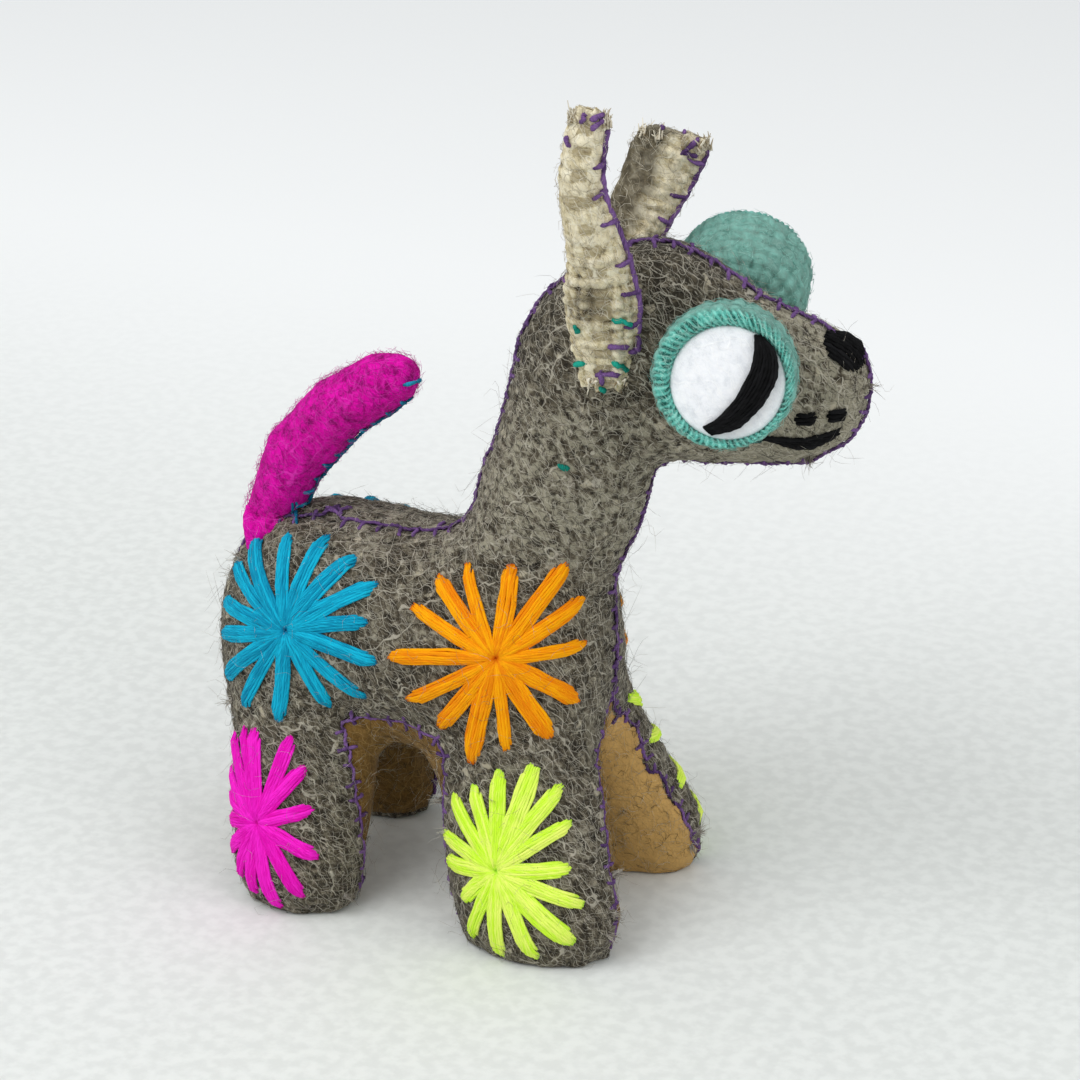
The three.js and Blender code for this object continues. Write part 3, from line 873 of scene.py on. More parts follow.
tail = cloth_copy("felt_tail", "tail")
remesh(tail, 1.5 * MM)
in_edit_mode(tail, lambda: bpy.ops.transform.shrink_fatten(value=-0.5 * MM))
shares = np.linspace(0.03, 0.97, 60)
tail_line = smooth_curve(TAIL_SPINE, shares)
tail_ahead = np.gradient(tail_line, axis=0)
tail_ahead /= np.linalg.norm(tail_ahead, axis=1)[:, None]
inner = np.column_stack([tail_ahead[:, 2], np.zeros(60), -tail_ahead[:, 0]])
tail_tree = tree_of(tail)
tail_seam = np.array([onto(tail_tree, at(*spot))[0] for spot in tail_line + inner * TAIL_RADIUS])
tail_points = points_of(tail)
to_seam = np.array([np.linalg.norm(tail_seam - point, axis=1).min() for point in tail_points])
stuff(tail, 1 - smooth_step(0.8 * MM, 2.0 * MM, to_seam), cap=1.0 * MM)
modify(tail, "SUBSURF", levels=2, render_levels=2)
settle(tail, outline_of(1 * MM, "tail"), proud=0.2 * MM)
smooth_tail = tree_of(tail)
tail_points = points_of(tail)
relief = 0.22 * mottle(tail_points, 2.2 * MM, 21) + 0.24 * mottle(tail_points, 5 * MM, 22)
move_points(tail, tail_points + normals_of(tail) * (relief * MM)[:, None])
# The relief is kept for painted shade in the hollows.
keep_values(tail, "relief", relief)
smooth_shaded(tail)
tail_strands = blanket_stitch(smooth_tail, tail_seam, 4.2 * MM, 3.3 * MM, (1, -1), rise=0.25)
tail_stitches = yarn("seam_tail", tail_strands, SEAM_YARN, plies=2, corners=8, twist=SEAM_TWIST)
print("tail:", triangles(tail), "triangles, stitches:", triangles(tail_stitches))

# %% [markdown]
# ## Weaves
# The ears and the eyes are cut from cloth woven of thick yarn, and the squares of the weave show from a
# step away, so they are real mesh. A closed ball is shaped into the piece, and each of its points knows
# how far it lies along and round it. A plain weave over those two gives the height of the upper yarn.

# %% Balls and weave
def ball(name, segments, rings):
    """A closed ball, with each point's share of the way from pole to pole and its angle round the axis."""
    bpy.ops.mesh.primitive_uv_sphere_add(segments=segments, ring_count=rings, radius=1, location=(0, 0, 0))
    piece = bpy.context.object
    piece.name = name
    places = points_of(piece)
    along = np.arccos(np.clip(-places[:, 2], -1, 1)) / math.pi
    return piece, along, np.arctan2(places[:, 1], places[:, 0])


def weave(u, v):
    """Height of a plain weave, 0 in the holes and 1 on the crowns, and which yarn is on top."""
    heights = []
    for first, second, sign in ((u, v, 1), (v, u, -1)):
        number = np.round(first)
        across = 1 - (2 * (first - number)) ** 2 * 0.8
        over = sign * np.cos(math.pi * (second + number))
        heights.append(0.62 * np.sqrt(np.clip(across, 0, 1)) + 0.38 * over)
    top = np.maximum(heights[0], heights[1])
    number = np.where(heights[0] > heights[1], np.round(u) * 7.3, np.round(v) * 3.1 + 40)
    return np.clip(top, 0, 1), number


def shade_of(numbers):
    """A steady random shade from 0 to 1 for each yarn number."""
    return np.modf(np.abs(np.sin(numbers * 12.9898) * 43758.5453))[0]


print("tools for woven pieces ready")

# %% [markdown]
# ## Ears
# Each ear is a tall strip of cream cloth, folded lengthwise so that it is cupped, with its cut end at
# the tip left ragged and its lower end sewn flat to the head. The right ear is worn nearly through near
# its foot, and the rear half of the left one is grey, from its grey lining and from painted shade where
# it folds, so each point keeps how grey it is. An ear is drawn as two short lists, the line up its middle
# and its half width along it, and a ball is wrapped to them.

# %% Ears
EAR_PITCH = 2.3
EARS = {
    "right": (
        [(3.4, -14, 124.4), (3.2, -15.5, 136.6), (2.2, -18, 151), (-0.8, -20.5, 167), (1.2, -21, 182)],
        [(0, 4.4), (0.14, 6.4), (0.34, 7.6), (0.5, 6.2), (0.68, 4.7), (0.85, 4.1), (0.95, 3.8), (1, 2.8)],
    ),
    "left": (
        [(1, 13, 125), (2.6, 15, 135), (5.2, 17.5, 146), (9.6, 19.6, 156), (13.6, 20, 166)],
        [(0, 4.4), (0.15, 5.6), (0.4, 6.2), (0.6, 6.6), (0.8, 7.4), (0.93, 7.6), (1, 6.0)],
    ),
}
EAR_THICK = 1.3
EAR_CUP = [(0, 0.2), (0.15, 0.8), (0.5, 2.2), (0.8, 2.0), (1, 0.8)]
SEEN_FACE = -1
WORN_PATCH = (0.36, -0.3)
FAR_CORNER_DROP = 1.3


def profile_at(pairs, values):
    return np.interp(values, [a for a, _ in pairs], [b for _, b in pairs])


def ear_length(side):
    return np.linalg.norm(np.diff(np.array(EARS[side][0]), axis=0), axis=1).sum()


def ear_shape(side, share, angle, raised=0.0):
    """Places on an ear for shares of its height and angles round it, in metres."""
    spine, widths = EARS[side]
    centre = smooth_curve(spine, share)
    before, after = (smooth_curve(spine, np.clip(share + step, 0, 1)) for step in (-0.01, 0.01))
    ahead = after - before
    ahead /= np.linalg.norm(ahead, axis=1)[:, None]
    forwards = np.array([1.0, 0, 0]) - ahead * ahead[:, :1]
    forwards /= np.linalg.norm(forwards, axis=1)[:, None]
    out = np.cross(ahead, forwards)
    u, w = np.cos(angle), np.sin(angle)
    flat_u = np.sign(u) * np.abs(u) ** 0.75
    half = profile_at(widths, share)
    thick = EAR_THICK * np.minimum(1, 6 * (1 - share) + 0.45) + raised
    cup = profile_at(EAR_CUP, share)
    local = centre + forwards * (half * flat_u)[:, None] + out * (thick * w + cup * flat_u ** 2)[:, None]
    return np.array([head_at(*spot) for spot in local])


def make_ear(side):
    piece, along, angle = ball("ear_cloth_" + side, 120, 178)
    share = smooth_step(0, 1, along) * 0.25 + along * 0.75
    u = np.cos(angle)
    places = ear_shape(side, share, angle)
    torn = smooth_step(0.88, 1, share) * (1.1 * np.sin(u * 6 + 1) + 0.8 * np.sin(u * 13 + 4))
    torn += smooth_step(0.1, 0, share) * (0.7 * np.sin(u * 8) + 0.5 * np.sin(u * 15 + 2))
    if side == "left":
        torn -= FAR_CORNER_DROP * (1 - u) * smooth_step(0.8, 1, share)
    places[:, 2] += torn * MM
    across = u * profile_at(EARS[side][1], share) / EAR_PITCH + 0.3 * mottle(places, 7 * MM, 33)
    height, number = weave(across, share * ear_length(side) / EAR_PITCH + 0.3 * mottle(places, 7 * MM, 34))
    tones = shade_of(number) if side == "right" else 0.35 + 0.65 * shade_of(number)
    height = height * (0.65 + 0.35 * tones)
    worn = np.zeros(len(u))
    if side == "right":
        worn = np.exp(-((share - WORN_PATCH[0]) / 0.07) ** 2 - ((u - WORN_PATCH[1]) / 0.45) ** 2)
    loose = 1 - 0.55 * smooth_step(0.45, 0.65, share) + 0.4 * mottle(places, 9 * MM, 35)
    fluff = 0.36 * mottle(places, 1.6 * MM, 31) + 0.34 * mottle(places, 4 * MM, 32)
    move_points(piece, places)
    bumps = 1.15 * loose * (height - 0.45) + fluff - 0.9 * worn * (1.1 - height)
    move_points(piece, places + normals_of(piece) * ((bumps - 0.2) * MM)[:, None])
    # This relief is kept for painted shade: the colour is darker where it is low, in the holes of the weave
    # and in the worn patch.
    relief = np.clip(height, 0, 1) * loose + (1 - loose) * 0.62 + 0.6 * fluff
    keep_values(piece, "relief", relief - 1.3 * worn * (1.15 - height))
    keep_values(piece, "tone_and_painted_light", tones)
    # The rear half of the left ear is greyed for its grey lining and for painted shade in its fold.
    far_fold_grey_and_shade = smooth_step(0.2, -0.25, u + 0.3 * mottle(places, 5 * MM, 36))
    in_the_hole = np.clip(1.6 * worn * (1.1 - height), 0, 1)
    keep_values(piece, "greyed", far_fold_grey_and_shade if side == "left" else in_the_hole)
    smooth_shaded(piece)
    return piece


ears = {side: make_ear(side) for side in SIDES}
ear_trees = {side: tree_of(ears[side]) for side in SIDES}
print("an ear has", triangles(ears["right"]), "triangles")

# %% [markdown]
# Purple blanket stitch runs up the front edge of each ear, with legs over both faces. The longer
# stitches at its ends, and the turquoise ones that hold it down, are placed by the pixels at which the
# photograph shows them: the camera's line of sight is followed to the cloth, and the yarn is laid there.

# %% Stitches on the ears
EAR_YARN = 1.1 * MM
LEG_SPACING = 6.6


def seen_stitch(start, end, *trees, rise=0.45, steps=6):
    """A short stitch between two pixels of the picture, laid on the surface that shows there."""
    share = np.linspace(0, 1, steps + 1)
    heights = rise * np.sin(math.pi * share) ** 0.5 - 0.3 * smooth_step(0.8, 1, share)
    path = []
    for part, height in zip(share, heights):
        spot, normal = seen_at(*(np.array(start) * (1 - part) + np.array(end) * part), *trees)
        path.append(spot + normal * (height * MM))
    return np.array(path), np.interp(share, [0, 0.2, 0.8, 1], [0.75, 1, 1, 0.65])


def ear_leg(side, share, face):
    """A leg of blanket stitch from the front edge of an ear over one of its faces."""
    along = np.linspace(0, 1, 7)
    lean = dice.uniform(-1.6, 1.2) / ear_length(side)
    angles = face * (0.05 + dice.uniform(0.95, 1.2) * along)
    raised = 0.6 * np.sin(math.pi * along) ** 0.4 - 0.5 * smooth_step(0.8, 1, along) + 0.1
    path = ear_shape(side, np.clip(share + lean * along, 0, 1), angles, raised)
    return path, np.interp(along, [0, 0.2, 1], [0.9, 1, 0.7])


SEEN_PURPLE = {
    "right": [
        ((604, 118), (591, 130)), ((603, 114), (590, 119)), ((586, 114), (581, 123)),
        ((567, 137), (570, 146)), ((608, 346), (630, 346)), ((637, 336), (639, 352)),
        ((629, 352), (641, 348)), ((596, 375), (622, 374)), ((601, 370), (602, 385)),
    ],
    "left": [
        ((684, 124), (684, 135)), ((700, 136), (681, 155)), ((682, 152), (698, 156)),
        ((662, 124), (663, 129)),
    ],
}
SEEN_TEAL = [
    ((612, 319), (634, 325)), ((575, 325), (579, 333)), ((575, 364), (586, 364)),
    ((613, 362), (629, 371)), ((600, 388), (605, 390)),
]
ear_seams = {}
for side in SIDES:
    edge_share = np.linspace(0.23 if side == "right" else 0.3, 0.95, 70)
    wave = 0.35 * np.cos(edge_share * ear_length(side) / LEG_SPACING * 2 * math.pi)
    edge_thread = ear_shape(side, edge_share, np.full(70, 0.25 * SEEN_FACE), 0.35 + 0.1 * wave)
    strands = [(edge_thread, 1 + 0.1 * wave)]
    for share in np.arange(0.27, 0.9, LEG_SPACING / ear_length(side)):
        for face in (SEEN_FACE, -SEEN_FACE):
            strands.append(ear_leg(side, share + dice.uniform(-0.01, 0.01), face))
    strands += [seen_stitch(*pixels, ear_trees[side], smooth_skin) for pixels in SEEN_PURPLE[side]]
    ear_seams[side] = yarn("seam_ear_" + side, strands, EAR_YARN, plies=2, corners=8, twist=STITCH_TWIST)
teal_strands = [seen_stitch(*pixels, ear_trees["right"], smooth_skin) for pixels in SEEN_TEAL]
teal_strands.append(seen_stitch((559, 465), (569, 469), smooth_skin))
teal_stitches = yarn("stitches_teal", teal_strands, EAR_YARN, plies=2, corners=8, twist=STITCH_TWIST)
print("ear stitches:", triangles(ear_seams["right"]), "triangles")

# %% [markdown]
# The cloth frays where it was cut: at the ends of the ears, at the toes, on the rump and under the chin.
# A tuft is a small bundle of tapered fibres. On the wool each is placed where the photograph shows it, by
# following the camera's line of sight onto the skin, and it leans the way that the photograph shows. On
# the ears the tufts are spread along the two cut ends.

# %% Frayed tufts
def tuft(spot, normal, way, count, length, spread_out=0.8):
    """Short tapered fibres that leave the cloth at a spot, roughly in one way."""
    strands = []
    for _ in range(count):
        start = Vector(spot) + Vector(dice.normal(0, spread_out * 0.5, 3)) * MM
        heading = (Vector(way) + Vector(normal) * 0.4 + Vector(dice.normal(0, 0.3, 3))).normalized()
        bend = Vector(dice.normal(0, 0.35, 3))
        reach = length * dice.uniform(0.5, 1.1)
        path = []
        for share in np.linspace(-0.2, 1, 6):
            place = start + (heading * share + bend * share * share) * reach
            place.z = max(place.z, LOWEST_YARN)
            path.append(place)
        strands.append((np.array(path), np.linspace(1, 0.25, 6)))
    return strands


SEEN_TUFTS = [
    ((612, 876), (1, -0.3), 12), ((616, 892), (1, 0.1), 12), ((613, 915), (1, 0.2), 14),
    ((608, 935), (1, 0.5), 10), ((694, 832), (1, -0.1), 16), ((692, 845), (0.6, 1), 8),
    ((228, 553), (-1, -0.3), 14), ((226, 572), (-1, 0.1), 8), ((808, 458), (0.1, 1), 8),
    ((848, 446), (0.8, 0.6), 8), ((232, 700), (-1, 0.2), 6), ((443, 800), (-1, 0.3), 8),
    ((448, 830), (-1, 0.4), 8), ((345, 895), (1, 0.3), 8), ((868, 385), (1, 0.1), 5),
]
wool_strands = []
for (column, row), (aside, down), count in SEEN_TUFTS:
    spot, normal = seen_at(column, row, smooth_skin)
    way = camera_turn @ Vector((aside, -down, 0)).normalized()
    wool_strands += tuft(spot, normal, way, 3 * count, 2.3 * MM)
wool_tufts = yarn("tufts_wool", wool_strands, 0.2 * MM, plies=1, corners=4)
ear_tufts = {}
for side in SIDES:
    strands = []
    for angle in dice.uniform(-math.pi, 0.6, 7):
        root = Vector(ear_shape(side, np.array([0.965]), np.array([angle]))[0])
        if side == "left":
            root.z -= FAR_CORNER_DROP * (1 - math.cos(angle)) * MM
        strands += tuft(root, (0, 0, 1), (dice.uniform(-0.2, 0.2), 0, 1), 12, 1.9 * MM, spread_out=0.8)
    for angle in dice.uniform(-math.pi, 0, 5):
        root = Vector(ear_shape(side, np.array([0.03]), np.array([angle]))[0])
        way = (dice.uniform(-0.3, 0.3), -0.2, -1)
        strands += tuft(root, (0, -0.5, 0), way, 7, 1.4 * MM, spread_out=0.7)
    ear_tufts[side] = yarn("tufts_ear_" + side, strands, 0.6 * MM, plies=1, corners=5)
print("tufts:", triangles(wool_tufts), "and", triangles(ear_tufts["right"]), "triangles")

# %% [markdown]
# The tail's seam ends in a few longer blue stitches, and below it a small pointed flap of the same felt
# lies on the rump. The flap starts as a ball that is flattened and drawn out from its root to its tip.

# %% Ends of the tail's seam
tail_end_strands = [
    seen_stitch((403, 385), (422, 379), smooth_tail, smooth_skin, rise=0.5),
    seen_stitch((296, 502), (297, 525), smooth_tail, smooth_skin, rise=0.5),
    seen_stitch((292, 503), (293, 517), smooth_tail, smooth_skin, rise=0.4),
    seen_stitch((262, 531), (258, 546), smooth_tail, smooth_skin, rise=0.4),
]
tail_end_stitches = yarn(
    "stitches_tail_ends", tail_end_strands, SEAM_YARN, plies=2, corners=8, twist=STITCH_TWIST)


def make_flap():
    """The small pointed flap of felt with which the tail ends on the rump."""
    piece, along, angle = ball("felt_flap", 40, 40)
    root, normal = seen_at(262, 514, smooth_tail, smooth_skin)
    tip, _ = seen_at(240, 543, smooth_skin)
    way = tip - root
    side = normal.cross(way).normalized()
    half = 5.2 * (1 - along) ** 0.8 * np.sin(math.pi * np.clip(along * 3, 0, 0.5)) + 0.2
    thick = 1.5 * np.sin(math.pi * np.clip(along * 2 + 0.1, 0, 0.5)) * (1 - 0.5 * along)
    lift = thick * np.sin(angle) - 2.2 * (1 - smooth_step(0, 0.5, along))
    places = np.array(root) + np.outer(along * 1.1 - 0.1, way) + (
        np.outer(half * np.cos(angle), side) + np.outer(lift, normal)) * MM
    move_points(piece, places)
    in_edit_mode(piece, lambda: bpy.ops.mesh.normals_make_consistent(inside=False))
    relief = 0.3 * mottle(places, 1.6 * MM, 61)
    move_points(piece, places + normals_of(piece) * (relief * MM)[:, None])
    # The relief is kept for painted shade in the hollows.
    keep_values(piece, "relief", relief)
    smooth_shaded(piece)
    return piece


flap = make_flap()
print("the flap has", triangles(flap), "triangles")

# %% [markdown]
# ## Eyes
# An eye is a drum-shaped cushion of turquoise cloth that stands well out from the head. The cloth is
# rolled over at the front into a thick rim, with white felt inside it. The cushion is a ball whose
# rings follow a drawn profile, and the same weave as on the ears goes round its side, with close turns
# of yarn over the rim. The opening sits a little off the drum's middle.

# %% Eye cushions and whites
EYE_TILT = math.radians(12)
EYE_LEAN = 0.8
PAD_PROFILE = [
    (0, -18), (8, -18), (11.7, -16.4), (13.0, -13), (13.3, -9.5), (13.2, -6.5), (13.4, -4),
    (13.6, -1.9), (13.2, -0.3), (12.3, 0.3), (11.6, 0), (11.1, -1.2), (10.6, -2.4), (0, -2.6),
]
WHITE_PROFILE = [(0, -1.95), (10.7, -1.95), (11.1, -1.5), (10.7, -1.0), (8, -0.6), (0, -0.25)]


def eye_axes(side):
    """The eye's face centre, its outward axis, and its forwards and upwards directions."""
    sign = SIDES[side]
    face = head_at(27.8, -29, 132.9) if sign < 0 else head_at(27, 29, 134.6)
    out = turned((0, sign * math.cos(EYE_TILT), math.sin(EYE_TILT)))
    up = (UP - out * UP.dot(out)).normalized()
    return face, out, up.cross(out) * (-sign), up


def spun_piece(name, profile, side, segments, rings):
    """A ball reshaped so that its rings follow a profile of radius and height, on the eye's axis."""
    piece, along, angle = ball(name, segments, rings)
    points = np.array(profile, float)
    run = np.concatenate([[0], np.cumsum(np.linalg.norm(np.diff(points, axis=0), axis=1))])
    spot = along * run[-1]
    radius = np.interp(spot, run, points[:, 0])
    height = np.interp(spot, run, points[:, 1])
    face, out, forwards, up = (np.array(v) for v in eye_axes(side))
    around = np.outer(np.cos(angle), forwards) + np.outer(np.sin(angle), up)
    inner = EYE_LEAN * smooth_step(13.5, 11.5, radius) * smooth_step(-6, -2, height)
    places = face + (around * radius[:, None] + np.outer(height, out) + np.outer(inner, forwards - up)) * MM
    move_points(piece, places)
    in_edit_mode(piece, lambda: bpy.ops.mesh.normals_make_consistent(inside=False))
    return piece, spot, angle


def make_pad(side):
    piece, spot, angle = spun_piece("eye_cushion_" + side, PAD_PROFILE, side, 184, 92)
    modify(piece, "SMOOTH", factor=0.5, iterations=6)
    rim = smooth_step(26, 29, spot)
    drift = 0.16 * mottle(points_of(piece), 5 * MM, 43)
    side_height, side_number = weave(angle * 13 / math.pi + drift, spot / 3.2 + drift)
    rim_height = 0.5 + 0.5 * np.cos(angle * 64 + 2.2 * (spot - 28))
    height = side_height * (1 - rim) + rim_height * rim
    bumps = (1.3 * (1 - rim) + 0.34 * rim) * (height - 0.6) + 0.12 * mottle(points_of(piece), 2.4 * MM, 41)
    move_points(piece, points_of(piece) + normals_of(piece) * (bumps * MM)[:, None])
    # The weave's height is kept for painted shade in the holes of the weave.
    keep_values(piece, "relief", height)
    keep_values(piece, "tone_and_painted_light", shade_of(side_number) * (1 - rim) + 0.5 * rim)
    keep_values(piece, "greyed", 0.75 * (1 - rim))
    smooth_shaded(piece)
    return piece


def make_white(side):
    piece, _, _ = spun_piece("white_felt_" + side, WHITE_PROFILE, side, 96, 40)
    places = points_of(piece)
    move_points(piece, places + normals_of(piece) * (0.06 * mottle(places, 2 * MM, 51) * MM)[:, None])
    smooth_shaded(piece)
    return piece


pads = {side: make_pad(side) for side in SIDES}
whites = {side: make_white(side) for side in SIDES}
print("an eye cushion has", triangles(pads["right"]), "triangles")

# %% [markdown]
# The pupil is a slanting crescent of black satin stitch on the white felt. Its strands run from end to
# end between two curved edges, so each one is a mix of the front edge and the back edge.

# %% Pupils
PUPIL_BACK = [(5.4, 9.2), (5.8, 5.6), (4.6, 1.2), (2.4, -3.2), (-0.3, -6.7), (-3.6, -9.1)]
PUPIL_FRONT = [(6.6, 9.0), (9.4, 5.6), (9.3, 0.6), (6.6, -4.4), (2.8, -8.3), (-2.2, -10.2)]


def make_pupil(side):
    face, out, forwards, up = eye_axes(side)
    share = np.linspace(0, 1, 15)
    strands = []
    lanes = 8
    for lane in range(lanes):
        mix = lane / (lanes - 1)
        knots = np.array(PUPIL_BACK) * (1 - mix) + np.array(PUPIL_FRONT) * mix
        flat = smooth_curve(knots, share)
        rise = -0.1 + 0.55 * np.sin(math.pi * share) ** 0.4 + 0.25 * math.sin(math.pi * mix)
        rise = rise - 0.7 * smooth_step(0.93, 1, share) - 0.7 * smooth_step(0.93, 1, 1 - share)
        path = [
            face + (forwards * (f + 0.3) + up * (u - 0.5) + out * float(r)) * MM
            for (f, u), r in zip(flat, rise)
        ]
        strands.append((np.array(path), np.interp(share, [0, 0.1, 0.9, 1], [0.7, 1, 1, 0.7])))
    return yarn("yarn_pupil_" + side, strands, 0.95 * MM, plies=2, corners=8, twist=12 * MM)


pupils = {side: make_pupil(side) for side in SIDES}
print("a pupil has", triangles(pupils["right"]), "triangles")

# %% [markdown]
# ## Nose, mouth and whiskers
# These are satin stitch straight on the wool: strands side by side that go in along the patch's outline.

# %% Satin stitch on the muzzle
def satin(centre, heading, half_length, half_width, spacing=0.8 * MM, rise=0.6):
    """Strands side by side in an oval patch of the skin."""
    centre, normal = onto(smooth_skin, centre)
    heading = (heading - normal * heading.dot(normal)).normalized()
    across = normal.cross(heading)
    strands = []
    lanes = max(int(2 * half_width / spacing), 2)
    for lane in range(lanes):
        aside = (lane + 0.5) / lanes * 2 - 1
        half = half_length * math.sqrt(max(1 - 0.85 * aside * aside, 0.1)) * dice.uniform(0.93, 1.05)
        start = centre + across * aside * half_width - heading * half
        strands.append(stitch(smooth_skin, start, heading, 2 * half, rise=rise, steps=8))
    return strands


BLACK_YARN = 0.95 * MM
MOUTH_LANES = [
    (0.02, 1, 0.3), (0.05, 1, -0.35), (0.2, 1, -1.0), (0.28, 0.95, -1.6), (0.36, 0.8, -2.2),
    (0.42, 0.7, -2.7), (-0.06, 0.1, -1.2),
]
snout = turned((1, 0, 0))
nose_patch = satin(head_at(50, -3, 130), turned((0.62, 0.1, -0.78)), 5.4 * MM, 4.3 * MM)
nose = yarn("yarn_nose", nose_patch, BLACK_YARN)
mouths = {}
whiskers = {}
for side, sign in SIDES.items():
    share = np.linspace(0, 1, 15)
    strands = []
    for low, high, drop in MOUTH_LANES:
        at_share = low + (high - low) * share
        spots = [
            head_at(32 + 20.5 * s, sign * 11, 114 - 1.2 * s - 1.5 * math.sin(math.pi * s) + drop)
            for s in at_share
        ]
        rise = (0.6 * np.sin(math.pi * share) ** 0.3 - 0.3) * MM
        strands.append((np.array([onto(smooth_skin, spot, float(r))[0] for spot, r in zip(spots, rise)]),
                        np.interp(share, [0, 0.1, 0.9, 1], [0.6, 1, 1, 0.6])))
    mouths[side] = yarn("yarn_mouth_" + side, strands, BLACK_YARN)
    for place, along in (("rear", 43), ("front", 50.3)):
        patch = satin(head_at(along, sign * 11, 117.7), snout, 2.3 * MM, 1.3 * MM, spacing=0.7 * MM)
        whiskers[side, place] = yarn("yarn_whisker_" + side + "_" + place, patch, BLACK_YARN)
print("nose:", triangles(nose), "triangles")

# %% [markdown]
# ## Fuzz
# Nothing says wool more than its loose hairs. Thousands of them lie over the cloth in curls, pale ones
# and dark ones, and some stand well off it. Each is a very thin yarn of three corners and a few
# segments, walked over the skin with a random turn at each step. Each kind of hair is one mesh.

# %% Hairs
LOWEST_HAIR = 0.4 * MM


def spread(piece, count, keep=None):
    """Random places on a piece, even over its surface, and the normals there."""
    mesh = piece.data
    mesh.calc_loop_triangles()
    corners = np.empty(len(mesh.loop_triangles) * 3, dtype=np.int32)
    mesh.loop_triangles.foreach_get("vertices", corners)
    corners = points_of(piece)[corners.reshape(-1, 3)]
    cross = np.cross(corners[:, 1] - corners[:, 0], corners[:, 2] - corners[:, 0])
    area = np.linalg.norm(cross, axis=1)
    if keep is not None:
        area = area * keep(corners.mean(axis=1))
    chosen = dice.choice(len(area), size=count, p=area / area.sum())
    a, b = dice.random((2, count, 1))
    flip = a + b > 1
    a, b = np.where(flip, 1 - a, a), np.where(flip, 1 - b, b)
    spots = corners[chosen, 0] * (1 - a - b) + corners[chosen, 1] * a + corners[chosen, 2] * b
    return spots, cross[chosen] / np.linalg.norm(cross[chosen], axis=1)[:, None]


def hairs(name, piece, tree, count, length, lift, thickness=0.11 * MM, curl=0.9, segments=4, keep=None):
    """Curly hairs over a piece. lift is how far their free ends stand off, in metres."""
    spots, normals = spread(piece, count, keep)
    strands = []
    for spot, normal in zip(spots, normals):
        place, normal = Vector(spot), Vector(normal)
        way = normal.orthogonal().normalized()
        way.rotate(Quaternion(normal, dice.uniform(0, ANY_TURN)))
        turn = dice.normal(0, curl)
        step = length * dice.uniform(0.5, 1.5) / segments
        rise = lift * dice.uniform(0.2, 1.6)
        path = [place - normal * 0.15 * MM]
        for number in range(1, segments + 1):
            way.rotate(Quaternion(normal, turn + dice.normal(0, 0.35)))
            place, normal = onto(tree, place + way * step)
            way = (way - normal * way.dot(normal)).normalized()
            free = place + normal * (0.12 * MM + rise * (number / segments) ** 1.5)
            free.z = max(free.z, LOWEST_HAIR)
            path.append(free)
        strands.append((np.array(path), [1] * segments + [0.5]))
    return yarn(name, strands, thickness, plies=1, corners=3)


print("hair tool ready")

# %% Fuzz on each cloth
def high_enough(lowest):
    """Keeps hairs off the soles."""
    return lambda spots: (spots[:, 2] > lowest).astype(float)


FUZZ = {}
above = high_enough(1.5 * MM)
FUZZ["fuzz_wool_pale"] = hairs(
    "fuzz_wool_pale", dog, smooth_skin, 5300, 4.2 * MM, 0.8 * MM, thickness=0.07 * MM, curl=1.1, keep=above)
FUZZ["fuzz_wool_dark"] = hairs(
    "fuzz_wool_dark", dog, smooth_skin, 2600, 4.5 * MM, 0.6 * MM, thickness=0.09 * MM, curl=1.0, keep=above)
FUZZ["fuzz_wool_loose"] = hairs(
    "fuzz_wool_loose", dog, smooth_skin, 1100, 8 * MM, 3.4 * MM, thickness=0.055 * MM, curl=0.7, segments=6,
    keep=above)
FUZZ["fuzz_tail"] = hairs("fuzz_tail", tail, smooth_tail, 1300, 3.5 * MM, 0.8 * MM, thickness=0.08 * MM)
for side in SIDES:
    FUZZ["fuzz_ear_" + side] = hairs(
        "fuzz_ear_" + side, ears[side], tree_of(ears[side]), 700, 4 * MM, 0.8 * MM, thickness=0.09 * MM)
    FUZZ["fuzz_eye_" + side] = hairs(
        "fuzz_eye_" + side, pads[side], tree_of(pads[side]), 800, 4 * MM, 0.5 * MM, thickness=0.08 * MM)
print({name: triangles(piece) for name, piece in FUZZ.items()})

# %% [markdown]
# ## Dyes and materials
# All the cloth here is wool, so one node group makes the look that all of it shares: fine tangled fibres.
# They are the thin crests of strongly bent waves, in four layers turned against one another, and a slow
# noise breaks them into lengths. A second group gives the streaks of fibre along a yarn, from the yarn's
# own UV map. The shader itself stays in each material.

# %% Node helpers
def put(tree, kind, inputs=None, **settings):
    """Adds a node. inputs holds numbers, or sockets to join."""
    node = tree.nodes.new("ShaderNode" + kind)
    for key, value in settings.items():
        setattr(node, key, value)
    for key, value in (inputs or {}).items():
        if isinstance(value, bpy.types.NodeSocket):
            tree.links.new(value, node.inputs[key])
        else:
            node.inputs[key].default_value = value
    return node


def maths(tree, operation, first, second=0.0):
    return put(tree, "Math", {0: first, 1: second}, operation=operation).outputs[0]


def ramped(tree, value, low, high, to_low=0.0, to_high=1.0):
    """A value brought smoothly from one range into another."""
    return put(tree, "MapRange", {
        "Value": value, "From Min": low, "From Max": high, "To Min": to_low, "To Max": to_high,
    }, interpolation_type="SMOOTHSTEP").outputs["Result"]


def mixed_colour(tree, share, first, second):
    return put(tree, "Mix", {0: share, 6: first, 7: second}, data_type="RGBA").outputs[2]


def kept_value(tree, name):
    return put(tree, "Attribute", attribute_name=name).outputs["Fac"]


def dye(red, green, blue):
    """A colour as a screen shows it, from 0 to 255, turned into light."""
    channels = [value / 255 for value in (red, green, blue)]
    return tuple(v / 12.92 if v < 0.04045 else ((v + 0.055) / 1.055) ** 2.4 for v in channels) + (1.0,)


def new_group(name, inputs, outputs):
    group = bpy.data.node_groups.new(name, "ShaderNodeTree")
    for label, value in inputs.items():
        socket = group.interface.new_socket(label, in_out="INPUT", socket_type="NodeSocketFloat")
        socket.default_value = value
    for label in outputs:
        group.interface.new_socket(label, in_out="OUTPUT", socket_type="NodeSocketFloat")
    return group, group.nodes.new("NodeGroupInput").outputs, group.nodes.new("NodeGroupOutput").inputs


